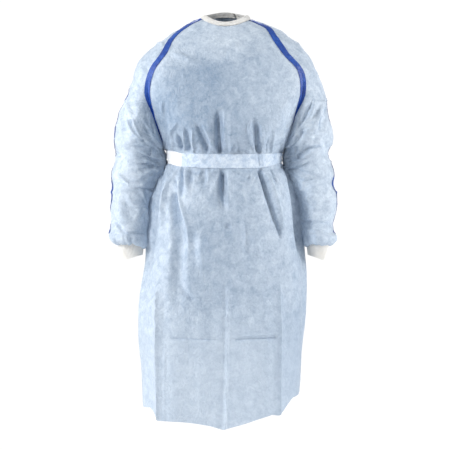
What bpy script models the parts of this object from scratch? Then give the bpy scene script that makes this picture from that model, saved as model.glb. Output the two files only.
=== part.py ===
"""A chemotherapy gown in the form it has when worn: front, two overlapping backs, raglan sleeves,
knitted cuffs, a bound neck, taped seams and a tied belt.

Metres, +Z up. The gown faces -Y. The origin is where the wearer's shoulders hold it, midway
between the two sides of the neck. "Left" is -X, which is the wearer's right.
"""

import math

import bpy
import numpy as np

# Thicknesses and gaps
WALL = 0.0020            # cloth wall of the solids
TAPE_WALL = 0.0010       # seam tape
BELT_WALL = 0.0018
KNIT_WALL = 0.0024       # neck binding and cuffs
SEAM_GAP = 0.0004        # between two sewn panels
LIE_GAP = 0.0006         # between a panel and what lies on it
ARMPIT_GAP = 0.0020      # between the body and a sleeve, right under the armpit

# Widths of what is sewn on
TAPE_WIDTH = 0.018
SLEEVE_TAPE_WIDTH = 0.016
BINDING_RISE = 0.012     # height of the neck binding
BINDING_LEAN = 0.010     # how far its top stands in from its foot
TAIL_LENGTH = 0.230
TAIL_WIDTH = 0.030
KNOT_SIZE = (0.036, 0.017, 0.040)
CUFF_INSIDE = 0.008      # length of cuff hidden in the sleeve's end

# How far each back panel passes the centre of the back, at the neck and at the hem
OVERLAP_AT_NECK = 0.026
OVERLAP_AT_HEM = 0.070
UNDER_DROP = WALL + 0.0011   # the under back panel lies this far inside the other

# Columns of the panels' grids. The sleeve's are counted from the front seam to its tape, and from
# there to the back seam.
FRONT_COLUMNS = 40
BACK_COLUMNS = 12
SLEEVE_FRONT_COLUMNS = 7
SLEEVE_BACK_COLUMNS = 5

# Rings of the gown's body from the neck to the hem. The first three columns are the ring's heights
# at the sides, front and back, then its reach to the left, right, front and back, and its squareness,
# where 2 is an ellipse.
RING_COLUMNS = ("side", "front", "back", "left", "right", "ahead", "behind", "square")
BODY_RINGS = (
    (0.005, -0.018, 0.018, 0.063, 0.066, 0.060, 0.056, 2.0),    # neck
    (-0.014, -0.038, 0.002, 0.108, 0.122, 0.074, 0.080, 2.0),
    (-0.042, -0.064, -0.032, 0.152, 0.170, 0.092, 0.103, 2.1),
    (-0.082, -0.098, -0.076, 0.201, 0.208, 0.110, 0.122, 2.2),  # shoulders
    (-0.130, -0.140, -0.128, 0.229, 0.232, 0.124, 0.132, 2.3),
    (-0.185, -0.190, -0.185, 0.212, 0.214, 0.134, 0.134, 2.4),  # chest
    (-0.240, -0.242, -0.240, 0.190, 0.187, 0.138, 0.131, 2.4),
    (-0.296, -0.296, -0.296, 0.166, 0.165, 0.136, 0.124, 2.3),
    (-0.322, -0.322, -0.322, 0.152, 0.150, 0.127, 0.116, 2.2),  # underarm
    (-0.338, -0.338, -0.338, 0.146, 0.144, 0.117, 0.107, 2.2),  # belt, upper edge
    (-0.371, -0.371, -0.371, 0.146, 0.144, 0.118, 0.108, 2.2),  # belt, lower edge
    (-0.398, -0.398, -0.398, 0.161, 0.158, 0.131, 0.121, 2.2),
    (-0.455, -0.455, -0.455, 0.178, 0.175, 0.144, 0.135, 2.3),
    (-0.530, -0.530, -0.530, 0.185, 0.183, 0.151, 0.144, 2.4),
    (-0.620, -0.620, -0.620, 0.197, 0.198, 0.155, 0.151, 2.5),
    (-0.720, -0.722, -0.720, 0.212, 0.197, 0.158, 0.156, 2.7),
    (-0.825, -0.835, -0.828, 0.213, 0.192, 0.160, 0.158, 2.8),
    (-0.905, -0.930, -0.912, 0.210, 0.190, 0.161, 0.159, 2.8),
    (-0.965, -1.005, -0.978, 0.207, 0.187, 0.162, 0.160, 2.8),  # hem
)
UNDERARM, BELT_TOP, BELT_BOTTOM = 8, 9, 10   # row numbers in that table
# Rows of the grid between one ring and the next
ROWS_TO_NEXT = (2, 2, 2, 2, 2, 2, 3, 2, 2, 1, 2, 2, 2, 2, 1, 1, 1, 2)

# The hem's height at distances from the centre, in front and behind. It hangs lower in the middle
# of the front, and it starts to leave the rings' own heights at row 14.
HEM_COLUMNS = ("sideways", "height")
HEM_FRONT = (
    (-0.207, -0.975), (-0.185, -0.971), (-0.166, -0.993), (-0.160, -1.001), (-0.108, -1.002),
    (-0.075, -1.005), (-0.038, -1.010), (-0.005, -1.019), (0.052, -1.005), (0.084, -0.995),
    (0.116, -0.985), (0.130, -0.987), (0.146, -0.975), (0.169, -0.947), (0.187, -0.944),
)
HEM_BEHIND = (
    (-0.207, -0.975), (-0.100, -0.982), (0.000, -0.980), (0.100, -0.970), (0.187, -0.944),
)
HEM_FROM = 14

# The raglan seams and the sleeve's crown at the same rings, down to the underarm: the seams' distance
# from the centre in front and behind, the sleeve's outer reach, how far it has become an arm of its
# own, and that arm's half width, half depth, middle and the half angle that the cloth goes round it.
CROWN_COLUMNS = (
    "left_seam", "right_seam", "back_seam", "left_reach", "right_reach",
    "arm", "half_width", "half_depth", "middle", "round",
)
CROWN_RINGS = (
    (0.0600, 0.0640, 0.042, 0.063, 0.066, 0.0, 0.050, 0.060, 0.000, 90),
    (0.1000, 0.1080, 0.072, 0.108, 0.122, 0.0, 0.050, 0.070, 0.000, 90),
    (0.1330, 0.1280, 0.103, 0.152, 0.170, 0.0, 0.055, 0.080, 0.000, 92),
    (0.1530, 0.1530, 0.133, 0.201, 0.208, 0.0, 0.058, 0.085, 0.000, 95),
    (0.1830, 0.1880, 0.160, 0.229, 0.232, 0.1, 0.060, 0.086, 0.002, 100),
    (0.1930, 0.1930, 0.180, 0.247, 0.254, 0.5, 0.062, 0.086, 0.004, 115),
    (0.1800, 0.1770, 0.178, 0.268, 0.265, 0.9, 0.065, 0.086, 0.007, 138),
    (0.1620, 0.1610, 0.162, 0.282, 0.275, 1.0, 0.066, 0.082, 0.010, 160),
    (0.1520, 0.1500, 0.152, 0.280, 0.266, 1.0, 0.064, 0.076, 0.011, 180),
)

# The sleeves below the underarm: height, the distances of their inner and outer sides from the
# centre, the middle's place front to back and the half depth.
ARM_COLUMNS = ("height", "left_in", "left_out", "right_in", "right_out", "middle", "half_depth")
ARM_RINGS = (
    (-0.322, 0.1540, 0.280, 0.1520, 0.266, 0.011, 0.076),
    (-0.336, 0.1550, 0.274, 0.1530, 0.262, 0.012, 0.073),
    (-0.358, 0.1590, 0.280, 0.1570, 0.269, 0.012, 0.069),
    (-0.384, 0.1680, 0.289, 0.1640, 0.278, 0.009, 0.064),
    (-0.412, 0.1800, 0.287, 0.1750, 0.274, 0.004, 0.060),
    (-0.446, 0.1890, 0.288, 0.1890, 0.283, -0.002, 0.057),
    (-0.486, 0.1950, 0.290, 0.1960, 0.279, -0.009, 0.055),
    (-0.518, 0.2000, 0.286, 0.1990, 0.271, -0.014, 0.053),
    (-0.540, 0.2000, 0.293, 0.1990, 0.280, -0.018, 0.056),
    (-0.556, 0.1990, 0.290, 0.1990, 0.278, -0.021, 0.055),
    (-0.566, 0.2030, 0.279, 0.2040, 0.269, -0.022, 0.046),
    (-0.566, 0.2090, 0.271, 0.2080, 0.265, -0.022, 0.036),
)
ARM_ROWS_TO_NEXT = (1, 1, 2, 1, 2, 2, 1, 1, 1, 1, 1)

# The cuffs: height on the outer side and on the inner side, inner and outer distance from the
# centre for each side, middle and half depth.
CUFF_COLUMNS = (
    "outer_height", "inner_height", "left_in", "left_out", "right_in", "right_out",
    "middle", "half_depth",
)
CUFF_RINGS = (
    (-0.5580, -0.5580, 0.2096, 0.2704, 0.2086, 0.2644, -0.022, 0.0354),
    (-0.5680, -0.5680, 0.2096, 0.2704, 0.2086, 0.2644, -0.022, 0.0354),
    (-0.5760, -0.5740, 0.2075, 0.2690, 0.2080, 0.2600, -0.023, 0.0330),
    (-0.5920, -0.5850, 0.2080, 0.2640, 0.2090, 0.2550, -0.024, 0.0300),
    (-0.6080, -0.5930, 0.2095, 0.2590, 0.2100, 0.2500, -0.025, 0.0285),
)

# The largest folds of the body. A fold runs from one point of the cloth to another, each given by
# its distance round the body from the centre of the front and its height; then its half width at
# both points, its depth, where minus is a trough, and the share of its length over which it fades
# in and out.
FOLD_COLUMNS = (
    "round_1", "height_1", "round_2", "height_2", "half_1", "half_2", "depth", "fade_1", "fade_2",
)
BODY_FOLDS = (
    # above the belt, in front
    (-0.015, -0.225, -0.014, -0.338, 0.017, 0.011, -0.011, 0.4, 0.0),
    (0.004, -0.222, 0.004, -0.338, 0.016, 0.011, 0.006, 0.4, 0.0),
    (0.072, -0.246, 0.086, -0.338, 0.020, 0.010, -0.010, 0.45, 0.0),
    (0.104, -0.250, 0.106, -0.338, 0.020, 0.014, 0.003, 0.5, 0.0),
    (-0.066, -0.262, -0.045, -0.338, 0.014, 0.010, -0.009, 0.4, 0.0),
    (-0.045, -0.250, -0.029, -0.338, 0.014, 0.010, 0.005, 0.4, 0.0),
    (-0.098, -0.270, -0.096, -0.338, 0.015, 0.011, -0.009, 0.4, 0.0),
    (-0.122, -0.286, -0.121, -0.338, 0.013, 0.011, -0.007, 0.4, 0.0),
    (-0.146, -0.240, -0.152, -0.338, 0.016, 0.012, 0.006, 0.5, 0.0),
    # below the belt, in front
    (-0.006, -0.371, -0.006, -0.500, 0.010, 0.024, -0.011, 0.0, 0.6),
    (0.012, -0.371, 0.010, -0.520, 0.010, 0.020, 0.005, 0.0, 0.6),
    (0.088, -0.371, 0.146, -0.560, 0.010, 0.020, -0.011, 0.0, 0.4),
    (0.108, -0.371, 0.168, -0.560, 0.010, 0.022, 0.005, 0.0, 0.5),
    (-0.052, -0.371, -0.056, -0.430, 0.010, 0.014, -0.007, 0.0, 0.5),
    (-0.086, -0.371, -0.090, -0.430, 0.010, 0.014, -0.006, 0.0, 0.5),
    (-0.112, -0.371, -0.114, -0.470, 0.010, 0.016, -0.009, 0.0, 0.5),
    (-0.096, -0.376, -0.098, -0.460, 0.008, 0.018, 0.006, 0.1, 0.5),
    (-0.140, -0.404, -0.118, -0.560, 0.016, 0.026, -0.012, 0.3, 0.0),
    (-0.118, -0.560, -0.116, -0.760, 0.026, 0.034, -0.012, 0.0, 0.7),
    (-0.160, -0.376, -0.186, -0.600, 0.012, 0.022, 0.007, 0.1, 0.5),
    # the creases of the packed gown, down the skirt
    (0.003, -0.560, 0.000, -1.030, 0.040, 0.046, 0.006, 0.4, 0.0),
    (0.070, -0.640, 0.075, -1.030, 0.040, 0.040, -0.005, 0.5, 0.0),
    (-0.080, -0.700, -0.090, -1.030, 0.050, 0.050, -0.004, 0.5, 0.0),
    (-0.176, -0.620, -0.172, -1.030, 0.022, 0.022, 0.006, 0.3, 0.0),
    (0.139, -0.620, 0.139, -1.030, 0.022, 0.022, 0.005, 0.3, 0.0),
    # sides
    (0.200, -0.371, 0.235, -0.640, 0.012, 0.030, -0.012, 0.0, 0.4),
    (0.240, -0.371, 0.290, -0.900, 0.012, 0.036, 0.009, 0.0, 0.3),
    (-0.200, -0.371, -0.232, -0.660, 0.012, 0.030, -0.011, 0.0, 0.4),
    (-0.236, -0.371, -0.285, -0.920, 0.012, 0.036, 0.009, 0.0, 0.3),
    # behind
    (0.300, -0.371, 0.360, -0.960, 0.013, 0.040, -0.013, 0.0, 0.2),
    (-0.296, -0.371, -0.350, -0.960, 0.013, 0.040, -0.013, 0.0, 0.2),
    (0.345, -0.371, 0.420, -0.760, 0.013, 0.034, 0.009, 0.0, 0.4),
    (-0.340, -0.371, -0.410, -0.800, 0.013, 0.034, 0.009, 0.0, 0.4),
    (0.300, -0.215, 0.290, -0.338, 0.026, 0.012, -0.010, 0.5, 0.0),
    (0.346, -0.190, 0.338, -0.338, 0.026, 0.012, 0.007, 0.5, 0.0),
    (-0.296, -0.205, -0.286, -0.338, 0.026, 0.012, -0.010, 0.5, 0.0),
    (-0.350, -0.200, -0.336, -0.338, 0.026, 0.012, 0.006, 0.5, 0.0),
)
BELT_PRESS = 0.008       # height above and below the belt over which it still flattens the folds
SEAM_HOLD = 0.028        # distance from a raglan seam over which it does the same

# The sleeves' largest folds, alike on both sides: place round the sleeve in degrees from its outer
# side, where minus is the front, and height, at both ends; half width, depth and fades as above.
ARM_FOLDS = (
    (-40, -0.200, -95, -0.300, 0.014, 0.018, -0.008, 0.4, 0.4),
    (-62, -0.190, -120, -0.270, 0.012, 0.014, 0.005, 0.4, 0.4),
    (-60, -0.322, -165, -0.338, 0.012, 0.012, -0.007, 0.4, 0.1),
    (-75, -0.352, -165, -0.362, 0.011, 0.011, -0.008, 0.4, 0.1),
    (-90, -0.372, -160, -0.380, 0.010, 0.010, 0.004, 0.4, 0.2),
    (-30, -0.400, -130, -0.420, 0.012, 0.012, -0.006, 0.4, 0.3),
    (-60, -0.430, -110, -0.520, 0.016, 0.016, -0.005, 0.4, 0.4),
    (-100, -0.540, 20, -0.532, 0.010, 0.010, -0.006, 0.3, 0.3),
    (60, -0.300, 150, -0.340, 0.014, 0.014, -0.008, 0.4, 0.2),
    (50, -0.350, 150, -0.372, 0.012, 0.012, -0.007, 0.4, 0.2),
    (40, -0.400, 120, -0.440, 0.014, 0.014, -0.006, 0.4, 0.3),
    (70, -0.220, 110, -0.290, 0.016, 0.018, -0.006, 0.4, 0.4),
)
SLEEVE_SEAM_ANGLE = 9   # degrees behind the sleeve's outer side, where its closing seam runs


def table(columns, rows):
    """A table's columns by name, as arrays."""
    return {name: np.array([row[i] for row in rows], float) for i, name in enumerate(columns)}


RINGS = table(RING_COLUMNS, BODY_RINGS)
HEMS = {"front": table(HEM_COLUMNS, HEM_FRONT), "behind": table(HEM_COLUMNS, HEM_BEHIND)}
CROWN = table(CROWN_COLUMNS, CROWN_RINGS)
ARM = table(ARM_COLUMNS, ARM_RINGS)
CUFF = table(CUFF_COLUMNS, CUFF_RINGS)


def along(values, at):
    """The smooth curve through a column's values, read at a row number that may be a fraction."""
    last = len(values) - 1
    at = np.clip(np.asarray(at, float), 0, last)
    start = np.minimum(np.floor(at).astype(int), last - 1)
    t = at - start
    slope = np.gradient(values)
    a, b, u, v = values[start], values[start + 1], slope[start], slope[start + 1]
    return (
        a * (2 * t**3 - 3 * t**2 + 1) + b * (3 * t**2 - 2 * t**3)
        + u * (t**3 - 2 * t**2 + t) + v * (t**3 - t**2)
    )


def ring_numbers(rows_to_next):
    """The grid's rows as places in a table of rings."""
    found = [i + k / n for i, n in enumerate(rows_to_next) for k in range(n)]
    return np.array(found + [len(rows_to_next)], float)


BODY_ROWS = ring_numbers(ROWS_TO_NEXT)
CROWN_ROWS = BODY_ROWS[BODY_ROWS <= UNDERARM]
ARM_ROWS = ring_numbers(ARM_ROWS_TO_NEXT)
SPLIT = len(CROWN_ROWS) - 1      # the grid row of the underarm


def smoothstep(t):
    t = np.clip(t, 0, 1)
    return t * t * (3 - 2 * t)


def length_along(points):
    """The distance from the first point to each, along the line."""
    steps = np.linalg.norm(np.diff(points, axis=0), axis=1)
    return np.concatenate([[0], np.cumsum(steps)])


def at_lengths(points, lengths):
    """The points of a line at the given distances along it."""
    far = length_along(points)
    return np.stack([np.interp(lengths, far, points[:, k]) for k in range(3)], axis=1)


def ring_at(row):
    """One ring's sizes."""
    return {name: float(along(RINGS[name], row)) for name in RING_COLUMNS}


def oval(ring, angle, left=None, right=None):
    """Points of a ring at angles from the centre of the front, plus to the right."""
    s, c = np.sin(angle), np.cos(angle)
    power = 2 / ring["square"]
    half = np.where(s < 0, left or ring["left"], right or ring["right"])
    deep = np.where(c > 0, ring["ahead"], ring["behind"])
    far_height = np.where(c > 0, ring["front"], ring["back"])
    x = half * np.sign(s) * np.abs(s) ** power
    y = -deep * np.sign(c) * np.abs(c) ** power
    z = ring["side"] + (far_height - ring["side"]) * c**2
    return np.stack([x, y, z], axis=-1)


def angle_at(ring, distance, side):
    """The angle in front at which a ring is that far from the centre."""
    share = min(1.0, distance / ring[side])
    return math.asin(share ** (ring["square"] / 2))


def fold_heights(around, height, folds):
    """How far the folds move the cloth out, at distances round the body and heights."""
    moved = np.zeros_like(around)
    for g1, z1, g2, z2, half_1, half_2, depth, fade_1, fade_2 in folds:
        t = (z1 - height) / (z1 - z2)
        inside = np.clip(t, 0, 1)
        off = (around - (g1 + (g2 - g1) * inside)) / (half_1 + (half_2 - half_1) * inside)
        shape = np.where(np.abs(off) < 1, np.cos(off * math.pi / 2) ** 2, 0)
        shown = smoothstep(t / fade_1) if fade_1 else np.where(t >= 0, 1.0, 0.0)
        shown = shown * (smoothstep((1 - t) / fade_2) if fade_2 else np.where(t <= 1, 1.0, 0.0))
        moved += depth * shape * shown
    top, bottom = RINGS["side"][BELT_TOP], RINGS["side"][BELT_BOTTOM]
    clear = np.maximum(height - top, bottom - height)
    return moved * smoothstep(clear / BELT_PRESS)


def grid_normals(points, closed=False):
    """Outward normals of a grid whose columns run round the gown from left to right in front."""
    down = np.gradient(points, axis=0)
    if closed:
        wrapped = np.concatenate([points[:, -2:-1], points, points[:, 1:2]], axis=1)
        across = (wrapped[:, 2:] - wrapped[:, :-2]) / 2
    else:
        across = np.gradient(points, axis=1)
    normal = np.cross(down, across)
    return normal / np.maximum(np.linalg.norm(normal, axis=-1, keepdims=True), 1e-12)


def unit(vectors):
    return vectors / np.maximum(np.linalg.norm(vectors, axis=-1, keepdims=True), 1e-12)


def seam_angles(row):
    """Angles of the front's two edges and the backs' two edges at one row of the body."""
    ring = ring_at(row)
    if row >= UNDERARM:
        return ring, -math.pi / 2, math.pi / 2, math.pi / 2, 3 * math.pi / 2
    front_left = -angle_at(ring, float(along(CROWN["left_seam"], row)), "left")
    front_right = angle_at(ring, float(along(CROWN["right_seam"], row)), "right")
    behind = float(along(CROWN["back_seam"], row))
    back_right = math.pi - angle_at(ring, behind, "right")
    back_left = math.pi + angle_at(ring, behind, "left")
    return ring, front_left, front_right, back_right, back_left


FINE = 240      # points of a ring before it is shared out
HALF_TAPE = TAPE_WIDTH / 2


def hung(grid, side):
    """Brings a grid's last row to the hem's height and lets the rows above follow, less and less."""
    hem = HEMS[side]
    shift = np.interp(grid[-1, :, 0], hem["sideways"], hem["height"]) - grid[-1, :, 2]
    weight = np.clip((BODY_ROWS - HEM_FROM) / (BODY_ROWS[-1] - HEM_FROM), 0, 1) ** 2
    grid[..., 2] += weight[:, None] * shift
    return grid


def front_grid():
    """The front from the left edge to the right, each point's distance round, and how free it is."""
    points, around, free = [], [], []
    for row in BODY_ROWS:
        ring, left, right, _, _ = seam_angles(row)
        line = oval(ring, np.linspace(left, right, FINE))
        far = length_along(line)
        centre = np.interp(0, np.linspace(left, right, FINE), far)
        inside = np.linspace(HALF_TAPE, far[-1] - HALF_TAPE, FRONT_COLUMNS - 1)
        at = np.concatenate([[0], inside, [far[-1]]])
        points.append(at_lengths(line, at))
        around.append(at - centre)
        to_edge = np.minimum(at, far[-1] - at)
        free.append(smoothstep(to_edge / SEAM_HOLD) if row < UNDERARM else np.ones_like(at))
    return hung(np.array(points), "front"), np.array(around), np.array(free)


def half_round(ring, side):
    """The length of a ring from the centre of the front to the centre of the back."""
    turn = math.pi if side == "right" else -math.pi
    return length_along(oval(ring, np.linspace(0, turn, FINE)))[-1]


def back_grid(side):
    """One back panel from its sewn edge to its free edge past the centre, as front_grid, and how
    far it lies inside the other where it is the under one."""
    sign = 1 if side == "right" else -1
    points, around, free, under = [], [], [], []
    for row in BODY_ROWS:
        ring, _, _, back_right, back_left = seam_angles(row)
        start = back_right if side == "right" else back_left - 2 * math.pi
        line = oval(ring, np.linspace(start, sign * math.pi * 1.35, FINE))
        to_centre = length_along(oval(ring, np.linspace(start, sign * math.pi, FINE)))[-1]
        past = OVERLAP_AT_NECK + (OVERLAP_AT_HEM - OVERLAP_AT_NECK) * row / BODY_ROWS[-1]
        at = np.concatenate([[0], np.linspace(HALF_TAPE, to_centre + past, BACK_COLUMNS)])
        points.append(at_lengths(line, at))
        around.append(sign * (half_round(ring, side) - to_centre + at))
        free.append(smoothstep(at / SEAM_HOLD) if row < UNDERARM else np.ones_like(at))
        under.append(UNDER_DROP * smoothstep(at / (to_centre - past)))
    return hung(np.array(points), "behind"), np.array(around), np.array(free), np.array(under)


def under_drop(row):
    """How far the under panel's columns lie inside the body's ring at one row."""
    return back_grid("left")[3][row]


def crown_row(row, side):
    """The sleeve's cloth at one ring above the underarm, from the front seam over to the back seam."""
    ring, front_left, front_right, back_right, back_left = seam_angles(row)
    crown = {name: float(along(CROWN[name], row)) for name in CROWN_COLUMNS}
    sign = 1 if side == "right" else -1
    start = front_right if side == "right" else front_left
    end = back_right if side == "right" else back_left - 2 * math.pi
    reach = crown[side + "_reach"]
    t = np.linspace(0, 1, FINE)
    body = oval(ring, start + (end - start) * t, reach, reach)
    turn = math.radians(crown["round"]) * (2 * t - 1)
    centre = reach - crown["half_width"]
    height = np.interp(t, [0, 0.5, 1], [body[0, 2], ring["side"], body[-1, 2]])
    arm = np.stack([
        sign * (centre + crown["half_width"] * np.cos(turn)),
        crown["middle"] + crown["half_depth"] * np.sin(turn),
        height,
    ], axis=-1)
    line = body + (arm - body) * crown["arm"]
    first = oval(ring, np.array([start]))[0] if row < UNDERARM else None
    last = oval(ring, np.array([end]))[0] if row < UNDERARM else None
    if first is None:
        first = last = np.array([sign * (ring[side] + ARMPIT_GAP), 0.0, ring["side"]])
    near = 0.38      # the share of the line over which an end is led to its seam
    lead = np.clip(1 - t / near, 0, 1)[:, None] ** 2
    trail = np.clip(1 - (1 - t) / near, 0, 1)[:, None] ** 2
    return line + (first - line[0]) * lead + (last - line[-1]) * trail


def loop(sign, inner, outer, middle, half_depth, height, tilt=0.0):
    """A closed ring round an arm, from its inner side round by the front."""
    turn = math.pi * (2 * np.linspace(0, 1, FINE) - 1)
    return np.stack([
        sign * ((inner + outer) / 2 + (outer - inner) / 2 * np.cos(turn)),
        middle + half_depth * np.sin(turn),
        height + tilt * np.cos(turn),
    ], axis=-1)


def arm_row(row, side):
    """The sleeve's ring at one row below the underarm."""
    at = {name: float(along(ARM[name], row)) for name in ARM_COLUMNS}
    sign = 1 if side == "right" else -1
    inner, outer = at[side + "_in"], at[side + "_out"]
    return loop(sign, inner, outer, at["middle"], at["half_depth"], at["height"])


def sleeve_places(length):
    """The columns' places along a ring: both seams' tapes and the sleeve's own tape have theirs."""
    tape = length * (0.5 + SLEEVE_SEAM_ANGLE / 360)
    half = SLEEVE_TAPE_WIDTH / 2
    ahead = np.linspace(HALF_TAPE, tape - half, SLEEVE_FRONT_COLUMNS + 1)
    behind = np.linspace(tape + half, length - HALF_TAPE, SLEEVE_BACK_COLUMNS + 1)
    return np.concatenate([[0], ahead, [tape], behind, [length]])


TAPE_COLUMN = SLEEVE_FRONT_COLUMNS + 2      # the column under the middle of the sleeve's tape


def shared_out(lines):
    """A grid from lines that go round the sleeve."""
    return np.array([at_lengths(line, sleeve_places(length_along(line)[-1])) for line in lines])


def sleeve_grid(side):
    """The sleeve from the neck to its end, from the front seam round the outside to the back seam,
    and each point's place round it in degrees."""
    lines = [crown_row(row, side) for row in CROWN_ROWS]
    lines += [arm_row(row, side) for row in ARM_ROWS[1:]]
    grid = shared_out(lines)
    places = np.array([sleeve_places(length_along(line)[-1]) for line in lines])
    return grid, 360 * places / places[:, -1:] - 180


def arm_folds(degrees, grid):
    """How far the sleeve's folds move its cloth out."""
    height = grid[..., 2]
    girth = np.linalg.norm(np.diff(grid, axis=1), axis=2).sum(1)[:, None]
    moved = np.zeros_like(height)
    for a1, z1, a2, z2, half_1, half_2, depth, fade_1, fade_2 in ARM_FOLDS:
        # distance from the fold's line on the cloth laid flat
        x, y = (degrees - a1) / 360 * girth, height - z1
        dx, dy = (a2 - a1) / 360 * girth, z2 - z1
        t = np.clip((x * dx + y * dy) / (dx**2 + dy**2), 0, 1)
        off = np.hypot(x - t * dx, y - t * dy) / (half_1 + (half_2 - half_1) * t)
        shape = np.where(off < 1, np.cos(np.minimum(off, 1) * math.pi / 2) ** 2, 0)
        moved += depth * shape * smoothstep(t / fade_1) * smoothstep((1 - t) / fade_2)
    # the seams keep their place
    from_seam = (180 - np.abs(degrees)) / 360 * girth
    held = (height > ARM["height"][0]) * (1 - smoothstep(from_seam / SEAM_HOLD))
    return moved * (1 - held)


MOST_MITRE = 2.5     # how far out a seam's common normal may reach, in walls


def share(first, second):
    """Gives two edges that meet one normal, long enough to keep both walls' thickness."""
    both = unit(first + second)
    reach = 1 / np.maximum(np.sum(both * first, axis=-1, keepdims=True), 1 / MOST_MITRE)
    first[...] = both * reach
    second[...] = both * reach


def pull_in(grid, normal, edge, rows):
    """Moves an edge's points square off the seam's middle plane by half of its gap."""
    beside = 1 if edge == 0 else -2
    square = unit(np.cross(np.gradient(grid[:, edge], axis=0), normal[:, edge]))
    inward = np.sign(np.sum(square * (grid[:, beside] - grid[:, edge]), axis=1, keepdims=True))
    grid[rows, edge] += (square * inward)[rows] * SEAM_GAP / 2


def material(name, colour, roughness):
    """One finish."""
    made = bpy.data.materials.new(name)
    made.use_nodes = True
    shader = made.node_tree.nodes["Principled BSDF"]
    shader.inputs["Base Color"].default_value = (*colour, 1)
    shader.inputs["Roughness"].default_value = roughness
    shader.inputs["Metallic"].default_value = 0
    made.diffuse_color = (*colour, 1)
    return made


def solid(name, outer, inner, finish, ring_closed=False):
    """A wall between two grids of points. Points that lie together are made one."""
    rows, columns = outer.shape[:2]
    points = np.concatenate([outer.reshape(-1, 3), inner.reshape(-1, 3)])
    _, keep, same = np.unique(
        np.round(points * 1e6).astype(int), axis=0, return_index=True, return_inverse=True
    )
    same = same.reshape(-1)
    number = np.arange(rows * columns).reshape(rows, columns)
    under = number + rows * columns

    def quads(a, b, c, d):
        return list(zip(a.ravel(), b.ravel(), c.ravel(), d.ravel()))

    faces = quads(number[:-1, :-1], number[1:, :-1], number[1:, 1:], number[:-1, 1:])
    faces += quads(under[:-1, :-1], under[:-1, 1:], under[1:, 1:], under[1:, :-1])
    faces += quads(number[0, :-1], number[0, 1:], under[0, 1:], under[0, :-1])
    faces += quads(number[-1, 1:], number[-1, :-1], under[-1, :-1], under[-1, 1:])
    if not ring_closed:
        faces += quads(number[1:, 0], number[:-1, 0], under[:-1, 0], under[1:, 0])
        faces += quads(number[1:, -1], under[1:, -1], under[:-1, -1], number[:-1, -1])
    welded = []
    for face in faces:
        corners = [int(same[i]) for i in face]
        kept = [p for i, p in enumerate(corners) if p != corners[i - 1]]
        if len(set(kept)) > 2:
            welded.append(kept)
    # a wall's end that folds onto itself, as under an arm, is left out
    seen = {}
    for face in welded:
        seen.setdefault(frozenset(face), []).append(face)
    welded = [same_face[0] for same_face in seen.values() if len(same_face) == 1]
    mesh = bpy.data.meshes.new(name)
    mesh.from_pydata([tuple(p) for p in points[keep]], [], welded)
    mesh.validate()
    mesh.update()
    mesh.materials.append(finish)
    mesh.shade_smooth()
    mesh.set_sharp_from_angle(angle=math.radians(50))
    made = bpy.data.objects.new(name, mesh)
    bpy.context.scene.collection.objects.link(made)
    return made


def panels():
    """Every panel's points, the same with gaps at the seams, and the normals its wall follows.

    Every grid is kept in the order in which its normals face out: round the gown from left to
    right in front."""
    front, around, free = front_grid()
    lift = fold_heights(around, front[..., 2], BODY_FOLDS) * free
    whole = {"front": front + grid_normals(front) * lift[..., None]}
    for side in ("left", "right"):
        back, around, free, under = back_grid(side)
        lift = fold_heights(around, back[..., 2], BODY_FOLDS) * free
        sleeve, degrees = sleeve_grid(side)
        bend = arm_folds(degrees, sleeve)
        if side == "left":
            back, lift = back[:, ::-1], (lift - under)[:, ::-1]
            sleeve, bend = sleeve[:, ::-1], bend[:, ::-1]
        whole[f"back_{side}"] = back + grid_normals(back) * lift[..., None]
        whole[f"sleeve_{side}"] = sleeve + grid_normals(sleeve, True) * bend[..., None]

    # below the underarm a sleeve's two edges and the sides' seams are one line each
    above, below = slice(0, SPLIT), slice(SPLIT, None)
    seams = [
        ("front", -1, "sleeve_right", 0, above), ("back_right", 0, "sleeve_right", -1, above),
        ("front", 0, "sleeve_left", -1, above), ("back_left", -1, "sleeve_left", 0, above),
        ("front", -1, "back_right", 0, below), ("front", 0, "back_left", -1, below),
        ("sleeve_left", 0, "sleeve_left", -1, below),
        ("sleeve_right", 0, "sleeve_right", -1, below),
    ]
    for name, edge, other, other_edge, rows in seams:
        whole[other][rows, other_edge] = whole[name][rows, edge]
    normals = {name: grid_normals(grid) for name, grid in whole.items()}
    for name, edge, other, other_edge, rows in seams:
        share(normals[name][rows, edge], normals[other][rows, other_edge])
    sewn = {name: grid.copy() for name, grid in whole.items()}
    for name, edge, other, other_edge, rows in seams:
        if name != other:
            pull_in(sewn[name], normals[name], edge, rows)
            pull_in(sewn[other], normals[other], other_edge, rows)
    return whole, sewn, normals


def strip(name, outer, normal, gap, wall, finish, **how):
    """A flat piece that lies on a panel, made from the panel's points moved out."""
    return solid(name, outer + normal * (gap + wall), outer + normal * gap, finish, **how)


TAPE_END_ROW = SPLIT - 2     # the raglan tapes end where the seam goes into the armpit


def raglan_tape(name, whole, normals, first, second, finish):
    """The tape over a raglan seam, from the binding to the armpit, on the last column of one panel
    and the first of the next."""
    rows = slice(0, TAPE_END_ROW + 1)
    parts = (first, slice(-2, None)), (second, slice(1, 2))
    points = np.concatenate([whole[panel][rows, columns] for panel, columns in parts], axis=1)
    facing = np.concatenate([normals[panel][rows, columns] for panel, columns in parts], axis=1)
    return strip(name, points, facing, LIE_GAP, TAPE_WALL, finish)


SLEEVE_TAPE_ROWS = (0, -3)      # the first of its rows, and how many it stops before the end


def sleeve_tape(name, whole, normals, sleeve, finish):
    """The tape over the sleeve's closing seam, behind its outer side, down to the gathers."""
    middle = TAPE_COLUMN if sleeve == "sleeve_right" else -1 - TAPE_COLUMN
    columns = [middle - 1, middle, middle + 1]
    rows = slice(*SLEEVE_TAPE_ROWS)
    points, facing = whole[sleeve][rows][:, columns], normals[sleeve][rows][:, columns]
    return strip(name, points, facing, LIE_GAP, TAPE_WALL, finish)


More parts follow.
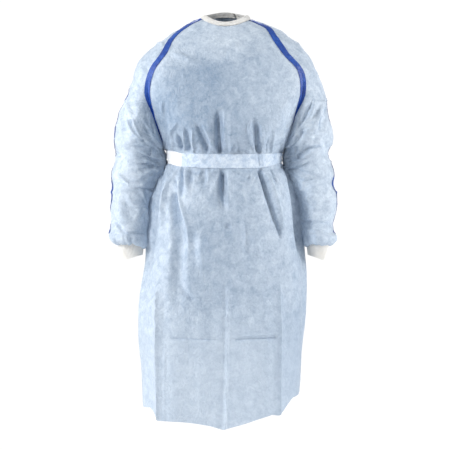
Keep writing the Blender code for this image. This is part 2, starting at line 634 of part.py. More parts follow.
def neck_binding(sewn, normals, finish):
    """The binding round the neck, one strip whose ends overlap behind, on the panels' top points."""
    order = ("back_left", "sleeve_left", "front", "sleeve_right", "back_right")
    foot = np.concatenate([sewn[name][0] for name in order])
    normal = np.concatenate([normals[name][0] for name in order])
    # a seam's two points make one, and of the rest every second is enough
    apart = np.linalg.norm(np.diff(foot, axis=0), axis=1)
    single = np.concatenate([[True], apart > 2 * SEAM_GAP])
    foot, normal = foot[single], normal[single]
    last = len(foot) - 1
    some = [i for i in range(len(foot)) if i % 2 == 0 or i == last]
    foot, normal = foot[some], normal[some]
    up = np.array([0, 0, 1.0])
    inward = unit(-foot * np.array([1, 1, 0]))
    face = unit(up * BINDING_LEAN - inward * BINDING_RISE)
    low = foot + up * SEAM_GAP
    middle = foot + up * BINDING_RISE * 0.45 + inward * BINDING_LEAN * 0.30
    top = foot + up * BINDING_RISE + inward * BINDING_LEAN
    outside = np.stack([top, middle, low])
    inside = np.stack([top - face * KNIT_WALL, middle - face * KNIT_WALL, low - normal * WALL])
    return solid("neck_binding", outside, inside, finish)


def cuff(side, finish):
    """A knitted cuff, gathered into the sleeve's end and tapering to the wrist."""
    sign = 1 if side == "right" else -1
    lines = []
    for i in range(len(CUFF_RINGS)):
        at = {name: CUFF[name][i] for name in CUFF_COLUMNS}
        level = (at["outer_height"] + at["inner_height"]) / 2
        tilt = (at["outer_height"] - at["inner_height"]) / 2
        inner, outer = at[side + "_in"], at[side + "_out"]
        lines.append(loop(sign, inner, outer, at["middle"], at["half_depth"], level, tilt))
    grid = shared_out(lines)
    if side == "left":
        grid = grid[:, ::-1]
    grid[:, -1] = grid[:, 0]
    normal = grid_normals(grid, True)
    normal[:, -1] = normal[:, 0]
    return solid(f"cuff_{side}", grid, grid - normal * KNIT_WALL, finish, ring_closed=True)


def belt(whole, normals, finish):
    """The belt, a loop from the panels' own points at the two rows where it presses on them."""
    rows = [int(np.argmin(np.abs(BODY_ROWS - row))) for row in (BELT_TOP, BELT_BOTTOM)]
    outer, inner = [], []
    for row in rows:
        parts = [(whole["front"][row], normals["front"][row])]
        parts.append((whole["back_right"][row][1:], normals["back_right"][row][1:]))
        # the under panel is taken up again where the upper one has ended
        points, facing = whole["back_left"][row], normals["back_left"][row]
        points = points + facing * under_drop(row)[::-1, None]
        beyond = points[:, 0] < whole["back_right"][row, -1, 0] - 0.006
        parts.append((points[beyond], facing[beyond]))
        line = np.concatenate([p for p, _ in parts])
        normal = unit(np.concatenate([n for _, n in parts]) * np.array([1, 1, 0]))
        outer.append(line + normal * (LIE_GAP + BELT_WALL))
        inner.append(line + normal * LIE_GAP)
    return solid("belt", np.array(outer), np.array(inner), finish, ring_closed=True)


BELT_MIDDLE = (RINGS["side"][BELT_TOP] + RINGS["side"][BELT_BOTTOM]) / 2
KNOT_SEAT = RINGS["behind"][BELT_BOTTOM] + LIE_GAP + BELT_WALL + SEAM_GAP


def knot(finish):
    """The flat knot behind, a block with every edge rounded."""
    bpy.ops.mesh.primitive_cube_add(size=1)
    made = bpy.context.object
    made.name = made.data.name = "belt_knot"
    middle = (0.0, KNOT_SEAT + KNOT_SIZE[1] / 2, BELT_MIDDLE)
    for vertex in made.data.vertices:
        vertex.co = [vertex.co[k] * KNOT_SIZE[k] for k in range(3)]
        vertex.co += type(vertex.co)(middle)
    made.data.materials.append(finish)
    bevel = made.modifiers.new("Rounded", "BEVEL")
    bevel.width = 0.0065
    bevel.segments = 3
    made.data.shade_smooth()
    return made


TAIL_ROWS = 9
TAIL_OFF = 0.006         # the tails hang this far off the skirt's ring
TAILS = (
    # name, sideways place at the knot and at the end, length, twist of the end
    ("belt_tail_left", -0.019, -0.052, TAIL_LENGTH, 0.004),
    ("belt_tail_right", 0.019, 0.046, TAIL_LENGTH - 0.018, -0.004),
)


def back_reach(height, sideways):
    """How far behind the centre the skirt's ring stands at a height and a distance sideways."""
    row = float(np.interp(-height, -RINGS["back"], np.arange(len(RINGS["back"]))))
    ring = ring_at(row)
    half = ring["left"] if sideways < 0 else ring["right"]
    share_out = (abs(sideways) / half) ** ring["square"]
    return ring["behind"] * (1 - share_out) ** (1 / ring["square"])


def tail(name, at_knot, at_end, length, twist, finish):
    """A free end of the belt, hanging from the knot down the back of the skirt."""
    top = BELT_MIDDLE - KNOT_SIZE[2] / 2 - SEAM_GAP
    rows = []
    for t in np.linspace(0, 1, TAIL_ROWS):
        height = top - length * t
        across = []
        for side in (-0.5, 0.0, 0.5):
            x = at_knot + (at_end - at_knot) * t + side * TAIL_WIDTH * (0.62 + 0.38 * min(1, 3 * t))
            hang = max(back_reach(height, x) + TAIL_OFF, KNOT_SEAT + KNOT_SIZE[1] / 3)
            across.append((x, hang + twist * side * 2 * t, height - 0.004 * t * side))
        rows.append(across)
    outer = np.array(rows)[:, ::-1]
    normal = np.zeros_like(outer)
    normal[..., 1] = 1
    return solid(name, outer + normal * BELT_WALL, outer, finish)


def clear_scene():
    for thing in list(bpy.data.objects):
        bpy.data.objects.remove(thing)


def main():
    clear_scene()
    cloth = material("coated_nonwoven", (0.66, 0.75, 0.86), 0.55)
    tape = material("blue_tape", (0.06, 0.16, 0.50), 0.40)
    knit = material("white_knit", (0.90, 0.88, 0.84), 0.85)
    whole, sewn, normals = panels()
    for name, grid in sewn.items():
        solid(name, grid, grid - normals[name] * WALL, cloth)
    raglan_seams = (
        ("tape_front_left", "sleeve_left", "front"), ("tape_front_right", "front", "sleeve_right"),
        ("tape_back_left", "back_left", "sleeve_left"),
        ("tape_back_right", "sleeve_right", "back_right"),
    )
    for name, first, second in raglan_seams:
        raglan_tape(name, whole, normals, first, second, tape)
    for side in ("left", "right"):
        sleeve_tape(f"tape_sleeve_{side}", whole, normals, f"sleeve_{side}", tape)
        cuff(side, knit)
    neck_binding(sewn, normals, knit)
    belt(whole, normals, cloth)
    knot(cloth)
    for name, at_knot, at_end, length, twist in TAILS:
        tail(name, at_knot, at_end, length, twist, cloth)


main()
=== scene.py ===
# %% [markdown]
# # A chemotherapy gown, dressed from its plain model
#
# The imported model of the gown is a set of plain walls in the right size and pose. In this lesson we
# lay real cloth over them: coated nonwoven with folds and creases, satin seam tapes, knitted cuffs,
# a bound neck and a tied belt. We load the model first, because every piece takes its place from it.

# %% Load the model
import math

import bpy
import numpy as np
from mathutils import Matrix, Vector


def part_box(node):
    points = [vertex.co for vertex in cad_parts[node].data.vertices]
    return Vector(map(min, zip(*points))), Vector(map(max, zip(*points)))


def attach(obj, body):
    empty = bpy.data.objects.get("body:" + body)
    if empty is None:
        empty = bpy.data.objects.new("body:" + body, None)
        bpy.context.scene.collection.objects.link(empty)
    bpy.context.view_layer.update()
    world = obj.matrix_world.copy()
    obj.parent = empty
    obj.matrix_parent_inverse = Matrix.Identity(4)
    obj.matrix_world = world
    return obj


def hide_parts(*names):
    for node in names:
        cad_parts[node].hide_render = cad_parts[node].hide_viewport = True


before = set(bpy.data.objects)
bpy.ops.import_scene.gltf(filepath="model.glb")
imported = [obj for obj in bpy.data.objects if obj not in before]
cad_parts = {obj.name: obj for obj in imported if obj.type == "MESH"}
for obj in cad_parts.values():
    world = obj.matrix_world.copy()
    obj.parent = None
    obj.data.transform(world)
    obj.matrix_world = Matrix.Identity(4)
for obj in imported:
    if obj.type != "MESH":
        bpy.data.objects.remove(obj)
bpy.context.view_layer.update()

print("the model has", len(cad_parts), "nodes")

# %% [markdown]
# ## Camera
#
# The picture was taken from straight ahead with a long lens, level with the belt. A long lens keeps
# the hem and the neck from leaning. The lens length is the sensor's width times the distance, over
# the width that the picture covers.

# %% The camera
DISTANCE = 4.0
VIEW_WIDTH = 1.1475
EYE_HEIGHT = -0.518
camera = bpy.data.objects.new("camera", bpy.data.cameras.new("camera"))
camera.data.sensor_width = 36.0
camera.data.lens = 36.0 * DISTANCE / VIEW_WIDTH
camera.location = (0.0, -DISTANCE, EYE_HEIGHT)
camera.rotation_euler = (math.pi / 2, 0.0, 0.0)
bpy.context.scene.collection.objects.link(camera)
bpy.context.scene.camera = camera
print("lens", round(camera.data.lens, 1), "mm")

# %% [markdown]
# ## Arithmetic on sockets
#
# A material is a small sum: base colour plus a bit of this noise, less a bit of that. Wiring Math
# nodes by hand hides the sum, so we wrap a socket in a class whose operators add the nodes for us.
# The second class is the material being put together, and has one way to add any other node.


# %% Sockets that can be counted with
class Value:
    """A socket. An operator on it adds a Math node and gives that node's result."""

    def __init__(self, finish, socket):
        self.finish = finish
        self.socket = socket

    def count(self, operation, *numbers):
        return self.finish.add("ShaderNodeMath", {"operation": operation}, dict(enumerate(numbers)))

    def __add__(self, other):
        return self.count("ADD", self, other)

    def __radd__(self, other):
        return self.count("ADD", other, self)

    def __sub__(self, other):
        return self.count("SUBTRACT", self, other)

    def __rsub__(self, other):
        return self.count("SUBTRACT", other, self)

    def __mul__(self, other):
        return self.count("MULTIPLY", self, other)

    def __rmul__(self, other):
        return self.count("MULTIPLY", other, self)

    def __truediv__(self, other):
        return self.count("DIVIDE", self, other)

    def __pow__(self, other):
        return self.count("POWER", self, other)

    def wave(self):
        return self.count("SINE", self)

    def size(self):
        return self.count("ABSOLUTE", self)

    def between(self, low, high):
        """0 at low and below it, 1 at high and above it, and smooth between."""
        return self.finish.add(
            "ShaderNodeMapRange", {"interpolation_type": "SMOOTHSTEP"}, {0: self, 1: low, 2: high}
        )


class Finish:
    """A material being put together."""

    def __init__(self, name, **fixed):
        self.material = bpy.data.materials.new(name)
        self.material.use_nodes = True
        self.tree = self.material.node_tree
        self.shader = self.tree.nodes["Principled BSDF"]
        for socket, value in fixed.items():
            self.shader.inputs[socket.replace("_", " ")].default_value = value

    def add(self, kind, settings=None, sockets=None, result=0):
        """Adds a node of a kind: its settings first, then its sockets' values or links."""
        node = self.tree.nodes.new(kind)
        for name, value in (settings or {}).items():
            setattr(node, name, value)
        for name, value in (sockets or {}).items():
            if isinstance(value, Value):
                self.tree.links.new(value.socket, node.inputs[name])
            else:
                node.inputs[name].default_value = value
        return Value(self, node.outputs[result])

    def noise(self, where, scale, detail=2.0, roughness=0.5, distortion=0.0):
        return self.add("ShaderNodeTexNoise", {}, {
            "Vector": where, "Scale": scale, "Detail": detail, "Roughness": roughness,
            "Distortion": distortion,
        })

    def stretched(self, where, scale):
        """Places multiplied along x, y and z."""
        return self.add("ShaderNodeMapping", {}, {"Vector": where, "Scale": scale})

    def mix(self, share, first, second):
        """One colour where the share is 0, the other where it is 1."""
        return self.add("ShaderNodeMix", {"data_type": "RGBA"}, {0: share, 6: first, 7: second}, 2)

    def apart(self, where):
        """The three numbers of a place."""
        split = self.add("ShaderNodeSeparateXYZ", {}, {0: where})
        return [Value(self, split.socket.node.outputs[k]) for k in range(3)]

    def place(self):
        return self.add("ShaderNodeTexCoord", result="Object")

    def cloth_place(self):
        """Metres across and along a strip, from its UV map."""
        return self.add("ShaderNodeUVMap", {"uv_map": "cloth"})

    def feed(self, name, value):
        self.tree.links.new(value.socket, self.shader.inputs[name])

    def relief(self, height, depth, strength=1.0):
        bump = self.add(
            "ShaderNodeBump", {}, {"Height": height, "Distance": depth, "Strength": strength}
        )
        self.feed("Normal", bump)
        return self.material


def colour(red, green, blue):
    """A colour as 0 to 255, the way that picture editors show it, in the shader's own numbers."""
    share = np.array([red, green, blue]) / 255
    linear = np.where(share <= 0.04045, share / 12.92, ((share + 0.055) / 1.055) ** 2.4)
    return (*[float(c) for c in linear], 1.0)


print("pale blue is", [round(c, 2) for c in colour(200, 216, 238)])

# %% [markdown]
# ## The cloth's finish
#
# Coated nonwoven is a mat of fine fibres, pressed together at a grid of tiny points and then covered
# with a thin clear film. The mat is uneven, so light shows clouds in it, a hand's width down to a
# few millimetres. The film gives it a soft sheen. So the colour follows three sizes of noise, with
# light and shade painted over it on the gown's panels and a painted highlight at one end of the belt,
# the relief has the pressed points and the flocks, and the roughness changes a little with both.


# %% Coated nonwoven
def nonwoven(name, deep, pale, seed=0.0, painted_light_zones=True):
    made = Finish(name, Metallic=0.0, Sheen_Weight=0.12, Sheen_Roughness=0.5, Coat_Weight=0.06,
                  Coat_Roughness=0.35)
    place = made.add("ShaderNodeMapping", {}, {"Vector": made.place(), "Location": (seed, 0.0, 0.0)})
    clouds = made.noise(place, 52.0, 6.0, 0.60, 0.5)
    flocks = made.noise(place, 170.0, 5.0, 0.70, 0.4)
    wide = made.noise(place, 7.0, 3.0, 0.5)
    fibres = made.noise(made.stretched(place, (420.0, 420.0, 150.0)), 1.0, 3.0, 0.6)
    crinkles = (made.noise(place, 34.0, 3.0, 0.5, 1.4) - 0.5).size().between(0.0, 0.10)
    patchy = clouds * 0.42 + flocks * 0.36 + wide * 0.14 + fibres * 0.08
    if painted_light_zones:
        # the tone attribute holds light and shade painted into the colour of the gown's panels
        tone = made.add("ShaderNodeAttribute", {"attribute_name": "tone"}, result=2)
        # near the hem the cloth was pressed flat and its clouds are fainter
        _, _, high = made.apart(made.place())
        pressed_flat = (high * -1.0).between(0.70, 0.84)
        contrast = (2.4 + tone * 0.35) * (1.0 - pressed_flat * 0.45)
        # shade mixes the cloth's own clouds with the painted light and shade of the tone attribute
        shade = (patchy - 0.5) * contrast + tone * 0.21 + 0.55
        base = made.mix(shade, deep, pale)
    else:
        # a painted highlight: at its left end, in front, the belt's colour turns white, where the light falls
        # straight on it
        shade = patchy.between(0.34, 0.66)
        across, ahead, _ = made.apart(made.place())
        end = (across * -1.0).between(0.106, 0.112) * (ahead * -1.0).between(-0.01, 0.01)
        base = made.mix(end, made.mix(shade, deep, pale), colour(255, 255, 255))
    made.feed("Base Color", base)
    made.feed("Roughness", 0.60 - shade * 0.14 + (fibres - 0.5) * 0.12)
    points = made.add("ShaderNodeTexVoronoi", {"feature": "F1"}, {"Vector": place, "Scale": 620.0})
    pressed = points.between(0.0, 0.35)
    return made.relief(pressed * 0.30 + flocks * 1.0 + fibres * 0.35 + crinkles * 0.9, 0.0011, 0.55)


cloth_finish = nonwoven("coated_nonwoven", colour(133, 155, 180), colour(228, 239, 250))
belt_finish = nonwoven("coated_nonwoven_belt", colour(170, 191, 216), colour(232, 242, 252), 3.0, False)

# %% [markdown]
# ## Tape, knit and thread
#
# The seam tape is a satin film, ironed on: deep blue, with fine lines across it from the press and
# small crinkles that catch the light, with painted highlights on them in its colour. Cuffs and neck
# are cream knit, where each stitch is a small V and the stitches stand in ribs, with painted shade
# between the stitches. Both patterns follow the strip, so they read its own UV map, which is in
# metres. The sewing thread is twisted, so fine slanting lines run round it, with painted shade in
# its grooves.


# %% Satin tape
def satin_tape():
    made = Finish("seam_tape", Metallic=0.0, Coat_Weight=0.22, Coat_Roughness=0.25)
    place = made.place()
    across, along_it, _ = made.apart(made.cloth_place())
    crinkle = made.noise(place, 190.0, 5.0, 0.6, 0.6)
    worn = made.noise(place, 30.0, 4.0, 0.6)
    press = (along_it * 5200.0).wave() * 0.5 + 0.5
    edge = (across.size()).between(0.0072, 0.0090)
    # painted highlights: the tape is paler where its crinkles stand up, mixed with its worn mottling
    tone = (crinkle * 0.5 + worn * 0.5).between(0.34, 0.68)
    base = made.mix(tone, colour(10, 54, 142), colour(36, 92, 186))
    made.feed("Base Color", made.mix(edge * 0.35, base, colour(16, 48, 122)))
    made.feed("Roughness", 0.36 + crinkle * 0.22)
    return made.relief(crinkle * 1.0 + worn * 0.8 + press * 0.10, 0.0016, 0.8)


def rib_knit(name, ribs_apart, stitch_length):
    """Rows of V-shaped stitches: the distance along the strip is bent by that across a rib."""
    made = Finish(name, Metallic=0.0, Sheen_Weight=0.35, Sheen_Roughness=0.6)
    across, along_it, _ = made.apart(made.cloth_place())
    turn = 2 * math.pi / ribs_apart
    rib = (across * turn).wave()
    vee = (along_it * (2 * math.pi / stitch_length) + rib.size() * 2.6).wave() * 0.5 + 0.5
    fuzz = made.noise(made.place(), 900.0, 4.0, 0.7)
    wool = made.noise(made.place(), 60.0, 4.0, 0.6)
    tone = (wool * 0.6 + fuzz * 0.4).between(0.32, 0.66)
    base = made.mix(tone, colour(250, 247, 240), colour(255, 254, 251))
    # painted shade: the cream is darker in the hollows between the stitches
    made.feed("Base Color", made.mix((1.0 - vee) * 0.16, base, colour(230, 225, 214)))
    made.feed("Roughness", 0.82 + fuzz * 0.12)
    return made.relief(vee * 0.8 + (rib * 0.5 + 0.5) * 0.5 + fuzz * 0.35, 0.0007, 0.8)


def sewing_thread():
    made = Finish("sewing_thread", Metallic=0.0, Sheen_Weight=0.3)
    x, y, z = made.apart(made.place())
    twist = ((x + y + z) * 9000.0).wave() * 0.5 + 0.5
    fuzz = made.noise(made.place(), 1500.0, 2.0, 0.6)
    # painted shade: the thread is darker in the grooves of its twist
    made.feed("Base Color", made.mix(twist * 0.6 + fuzz * 0.4, colour(214, 208, 196), colour(250, 248, 242)))
    made.feed("Roughness", 0.55 + fuzz * 0.2)
    return made.relief(twist, 0.0002, 0.7)


tape_finish = satin_tape()
cuff_finish = rib_knit("cuff_knit", 0.0034, 0.0016)
neck_finish = rib_knit("neck_knit", 0.0026, 0.0014)
thread_finish = sewing_thread()
print("finishes:", [m.name for m in bpy.data.materials if m.name.endswith(("knit", "tape", "thread", "woven"))])

# %% [markdown]
# ## Floor, world and light
#
# A white studio lights cloth from every side, and its two big windows at the sides are what makes
# the outer edges of the sleeves glow. We give the world a soft even white, put one large soft light
# on each side and a weaker one in front and above. The floor is where the wearer would stand, and
# is not part of the gown.

# %% Studio
FLOOR_HEIGHT = -1.45


def softbox(name, place, aim, width, height, energy, tint=(1.0, 1.0, 1.0)):
    """A rectangular light that looks from its place at a point."""
    lamp = bpy.data.lights.new(name, "AREA")
    lamp.shape = "RECTANGLE"
    lamp.size, lamp.size_y = width, height
    lamp.energy = energy
    lamp.color = tint
    made = bpy.data.objects.new(name, lamp)
    made.location = place
    way = np.array(aim) - np.array(place)
    made.rotation_euler = (
        math.acos(-way[2] / np.linalg.norm(way)), 0.0, math.atan2(-way[0], way[1])
    )
    bpy.context.scene.collection.objects.link(made)


softbox("left_window", (-2.4, 0.15, 0.0), (0.0, 0.0, -0.5), 1.0, 2.4, 29.0)
softbox("right_window", (2.3, -0.55, 0.0), (0.0, 0.0, -0.5), 1.0, 2.4, 46.0)
softbox("front_top", (-2.1, -1.7, 0.9), (0.0, 0.0, -0.5), 0.6, 0.9, 58.0)
softbox("low_fill", (0.0, -3.4, -1.2), (0.0, 0.0, -0.55), 1.6, 0.6, 5.0)
softbox("back_top", (0.3, 2.8, 1.2), (0.0, 0.0, -0.5), 2.0, 1.2, 30.0)

world = bpy.data.worlds.new("studio")
bpy.context.scene.world = world
world.use_nodes = True
nodes, links = world.node_tree.nodes, world.node_tree.links
seen = nodes.new("ShaderNodeBackground")
seen.inputs["Color"].default_value = (1.0, 1.0, 1.0, 1.0)
seen.inputs["Strength"].default_value = 1.05
light = nodes["Background"]
light.inputs["Color"].default_value = (0.93, 0.96, 1.0, 1.0)
light.inputs["Strength"].default_value = 0.34
path = nodes.new("ShaderNodeLightPath")
both = nodes.new("ShaderNodeMixShader")
links.new(path.outputs["Is Camera Ray"], both.inputs[0])
links.new(light.outputs[0], both.inputs[1])
links.new(seen.outputs[0], both.inputs[2])
links.new(both.outputs[0], nodes["World Output"].inputs["Surface"])
bpy.context.scene.view_settings.view_transform = "Standard"

pale_floor = Finish("pale_floor", Metallic=0.0, Roughness=0.8)
speckle = pale_floor.noise(pale_floor.place(), 6.0, 4.0, 0.6)
pale_floor.feed("Base Color", pale_floor.mix(speckle, colour(244, 245, 247), colour(252, 252, 253)))
rim = np.linspace(0, 2 * math.pi, 97)[:-1]
mesh = bpy.data.meshes.new("floor")
mesh.from_pydata([(2.1 * math.cos(a), 2.1 * math.sin(a), FLOOR_HEIGHT) for a in rim], [], [list(range(96))])
mesh.materials.append(pale_floor.material)
floor = bpy.data.objects.new("floor", mesh)
bpy.context.scene.collection.objects.link(floor)

# %% [markdown]
# ## The gown's sizes
#
# The body is a stack of rings from the neck to the hem, each a soft rectangle. The sleeve starts at
# the raglan seams and becomes an arm of its own below the armpit. The tables are the ones that the
# plain model was made from, in metres, so that the cloth lies where the model is.

# %% Tables
RING_COLUMNS = ("side", "front", "back", "left", "right", "ahead", "behind", "square")
BODY_RINGS = (
    (0.005, -0.018, 0.018, 0.063, 0.066, 0.060, 0.056, 2.0),    # neck
    (-0.014, -0.038, 0.002, 0.108, 0.122, 0.074, 0.080, 2.0),
    (-0.042, -0.064, -0.032, 0.152, 0.170, 0.092, 0.103, 2.1),
    (-0.082, -0.098, -0.076, 0.201, 0.208, 0.110, 0.122, 2.2),  # shoulders
    (-0.130, -0.140, -0.128, 0.229, 0.232, 0.124, 0.132, 2.3),
    (-0.185, -0.190, -0.185, 0.212, 0.214, 0.134, 0.134, 2.4),  # chest
    (-0.240, -0.242, -0.240, 0.190, 0.187, 0.138, 0.131, 2.4),
    (-0.296, -0.296, -0.296, 0.166, 0.165, 0.136, 0.124, 2.3),
    (-0.322, -0.322, -0.322, 0.152, 0.150, 0.127, 0.116, 2.2),  # underarm
    (-0.338, -0.338, -0.338, 0.146, 0.144, 0.117, 0.107, 2.2),  # belt, upper edge
    (-0.371, -0.371, -0.371, 0.146, 0.144, 0.118, 0.108, 2.2),  # belt, lower edge
    (-0.398, -0.398, -0.398, 0.161, 0.158, 0.131, 0.121, 2.2),
    (-0.455, -0.455, -0.455, 0.178, 0.175, 0.144, 0.135, 2.3),
    (-0.530, -0.530, -0.530, 0.185, 0.183, 0.151, 0.144, 2.4),
    (-0.620, -0.620, -0.620, 0.197, 0.198, 0.155, 0.151, 2.5),
    (-0.720, -0.722, -0.720, 0.212, 0.197, 0.158, 0.156, 2.7),
    (-0.825, -0.835, -0.828, 0.213, 0.192, 0.160, 0.158, 2.8),
    (-0.905, -0.930, -0.912, 0.210, 0.190, 0.161, 0.159, 2.8),
    (-0.965, -1.005, -0.978, 0.207, 0.187, 0.162, 0.160, 2.8),  # hem
)
UNDERARM, BELT_TOP, BELT_BOTTOM, HEM_FROM, HEM = 8, 9, 10, 14, 18   # row numbers in that table
HEM_COLUMNS = ("sideways", "height")
HEM_FRONT = (
    (-0.207, -0.975), (-0.185, -0.971), (-0.166, -0.993), (-0.160, -1.001), (-0.108, -1.002),
    (-0.075, -1.005), (-0.038, -1.010), (-0.005, -1.019), (0.052, -1.005), (0.084, -0.995),
    (0.116, -0.985), (0.130, -0.987), (0.146, -0.975), (0.169, -0.947), (0.187, -0.944),
)
HEM_BEHIND = (
    (-0.207, -0.975), (-0.100, -0.982), (0.000, -0.980), (0.100, -0.970), (0.187, -0.944),
)
CROWN_COLUMNS = (
    "left_seam", "right_seam", "back_seam", "left_reach", "right_reach",
    "arm", "half_width", "half_depth", "middle", "round",
)
CROWN_RINGS = (
    (0.0600, 0.0640, 0.042, 0.063, 0.066, 0.0, 0.050, 0.060, 0.000, 90),
    (0.1000, 0.1080, 0.072, 0.108, 0.122, 0.0, 0.050, 0.070, 0.000, 90),
    (0.1330, 0.1280, 0.103, 0.152, 0.170, 0.0, 0.055, 0.080, 0.000, 92),
    (0.1530, 0.1530, 0.133, 0.201, 0.208, 0.0, 0.058, 0.085, 0.000, 95),
    (0.1830, 0.1880, 0.160, 0.229, 0.232, 0.1, 0.060, 0.086, 0.002, 100),
    (0.1930, 0.1930, 0.180, 0.247, 0.254, 0.5, 0.062, 0.086, 0.004, 115),
    (0.1800, 0.1770, 0.178, 0.268, 0.265, 0.9, 0.065, 0.086, 0.007, 138),
    (0.1620, 0.1610, 0.162, 0.282, 0.275, 1.0, 0.066, 0.082, 0.010, 160),
    (0.1520, 0.1500, 0.152, 0.280, 0.266, 1.0, 0.064, 0.076, 0.011, 180),
)
ARM_COLUMNS = ("height", "left_in", "left_out", "right_in", "right_out", "middle", "half_depth")
ARM_RINGS = (
    (-0.322, 0.1540, 0.280, 0.1520, 0.266, 0.011, 0.076),
    (-0.336, 0.1550, 0.274, 0.1530, 0.262, 0.012, 0.073),
    (-0.358, 0.1590, 0.280, 0.1570, 0.269, 0.012, 0.069),
    (-0.384, 0.1680, 0.289, 0.1640, 0.278, 0.009, 0.064),
    (-0.412, 0.1800, 0.287, 0.1750, 0.274, 0.004, 0.060),
    (-0.446, 0.1890, 0.288, 0.1890, 0.283, -0.002, 0.057),
    (-0.486, 0.1950, 0.290, 0.1960, 0.279, -0.009, 0.055),
    (-0.518, 0.2000, 0.286, 0.1990, 0.271, -0.014, 0.053),
    (-0.540, 0.2000, 0.293, 0.1990, 0.280, -0.018, 0.056),
    (-0.556, 0.1990, 0.290, 0.1990, 0.278, -0.021, 0.055),
    (-0.566, 0.2030, 0.279, 0.2040, 0.269, -0.022, 0.046),
    (-0.566, 0.2090, 0.271, 0.2080, 0.265, -0.022, 0.036),
)
SLEEVE_END = len(ARM_RINGS) - 1


def table(columns, rows):
    """A table's columns by name, as arrays."""
    return {name: np.array([row[i] for row in rows], float) for i, name in enumerate(columns)}


RINGS = table(RING_COLUMNS, BODY_RINGS)
HEMS = {"front": table(HEM_COLUMNS, HEM_FRONT), "behind": table(HEM_COLUMNS, HEM_BEHIND)}
CROWN = table(CROWN_COLUMNS, CROWN_RINGS)
ARM = table(ARM_COLUMNS, ARM_RINGS)
print("from neck to hem", round(RINGS["front"][0] - RINGS["front"][-1], 3), "m in front")

# %% [markdown]
# ## Reading a table smoothly
#
# Between two rows of a table the cloth curves, so we read the columns with a smooth curve that goes
# through every value. Lines round the gown are then laid out by distance, not by angle, because a
# maker measures cloth along its surface.


# %% Curves and distances
def along(values, at):
    """The smooth curve through a column's values, read at a row number that may be a fraction. Each
    value keeps the slope between its neighbours, and a cubic joins one to the next."""
    last = len(values) - 1
    at = np.clip(np.asarray(at, float), 0, last)
    start = np.minimum(np.floor(at).astype(int), last - 1)
    t = at - start
    slope = np.gradient(values)
    a, b, u, v = values[start], values[start + 1], slope[start], slope[start + 1]
    return (
        a * (2 * t**3 - 3 * t**2 + 1) + b * (3 * t**2 - 2 * t**3)
        + u * (t**3 - 2 * t**2 + t) + v * (t**3 - t**2)
    )


def smoothstep(t):
    """3t^2 - 2t^3 between 0 and 1, and flat outside."""
    t = np.clip(t, 0, 1)
    return t * t * (3 - 2 * t)


def unit(vectors):
    return vectors / np.maximum(np.linalg.norm(vectors, axis=-1, keepdims=True), 1e-12)


def distances(lines):
    """How far every point lies along its line, for many lines at once."""
    steps = np.linalg.norm(np.diff(lines, axis=1), axis=2)
    return np.concatenate([np.zeros((len(lines), 1)), np.cumsum(steps, axis=1)], axis=1)


def read_lines(lines, known, at):
    """Points of many lines, each at its own values. Every line's values are shifted by ten times its
    number, so that one interpolation reads them all."""
    shift = 10.0 * np.arange(len(lines))[:, None]
    at = np.clip(at, known[:, :1], known[:, -1:])
    flat = lines.reshape(-1, lines.shape[-1])
    read = [np.interp((at + shift).ravel(), (known + shift).ravel(), column) for column in flat.T]
    return np.stack(read, axis=-1).reshape(*at.shape, -1)


def even_rows(first, last, count, *curves):
    """Row numbers that lie evenly along the line that the curves describe."""
    fine = np.linspace(first, last, 3000)
    line = np.stack([along(curve, fine) for curve in curves], axis=-1)
    far = distances(line[None])[0]
    return np.interp(np.linspace(0, far[-1], count), far, fine)


print("belt height", float(along(RINGS["side"], 9.5)))

# %% [markdown]
# ## Lines round the body
#
# A ring is an ellipse with squarer corners: the powers of sine and cosine are two over its
# squareness. Down to the underarm the front and the back panels end at the raglan seams, below it
# at the sides.

# %% The rings and where the seams cross them
FINE = 700      # points of a ring before it is shared out
SHARE = np.linspace(0, 1, FINE)[None, :]


def ring_at(row):
    """The sizes of one ring for each row number, shaped to meet an array of angles."""
    row = np.asarray(row, float)
    row = row[:, None] if row.ndim == 1 else row
    return {name: along(RINGS[name], row) for name in RING_COLUMNS}


def oval(ring, angle, left=None, right=None):
    """Points of a ring at angles from the centre of the front, plus to the right."""
    s, c = np.sin(angle), np.cos(angle)
    power = 2 / ring["square"]
    half = np.where(s < 0, ring["left"] if left is None else left, ring["right"] if right is None else right)
    deep = np.where(c > 0, ring["ahead"], ring["behind"])
    far_height = np.where(c > 0, ring["front"], ring["back"])
    x = half * np.sign(s) * np.abs(s) ** power
    y = -deep * np.sign(c) * np.abs(c) ** power
    z = ring["side"] + (far_height - ring["side"]) * c**2
    return np.stack([x, y, z], axis=-1)


def seam_angles(rows):
    """The ring and the angles of the front's left and right edge and the backs' right and left."""
    ring = ring_at(rows)
    read = {name: along(CROWN[name], rows)[:, None] for name in ("left_seam", "right_seam", "back_seam")}

    def angle(distance, side):
        return np.arcsin(np.minimum(1, distance / ring[side]) ** (ring["square"] / 2))

    below = rows[:, None] >= UNDERARM
    left = np.where(below, -math.pi / 2, -angle(read["left_seam"], "left"))
    right = np.where(below, math.pi / 2, angle(read["right_seam"], "right"))
    back_right = np.where(below, math.pi / 2, math.pi - angle(read["back_seam"], "right"))
    back_left = np.where(below, 1.5 * math.pi, math.pi + angle(read["back_seam"], "left"))
    return ring, left, right, back_right, back_left


def hung(grid, rows, side):
    """Brings the cloth's last row to the hem's height and lets the rows above follow, less and less."""
    hem = HEMS[side]
    shift = np.interp(grid[-1, :, 0], hem["sideways"], hem["height"]) - grid[-1, :, 2]
    weight = np.clip((rows - HEM_FROM) / (HEM - HEM_FROM), 0, 1) ** 2
    grid[..., 2] += weight[:, None] * shift * (rows[-1] == HEM)
    return grid


test = seam_angles(np.array([0.0, 4.0, 9.0]))
print("front's right edge, in degrees:", np.degrees(test[2][:, 0]).round())

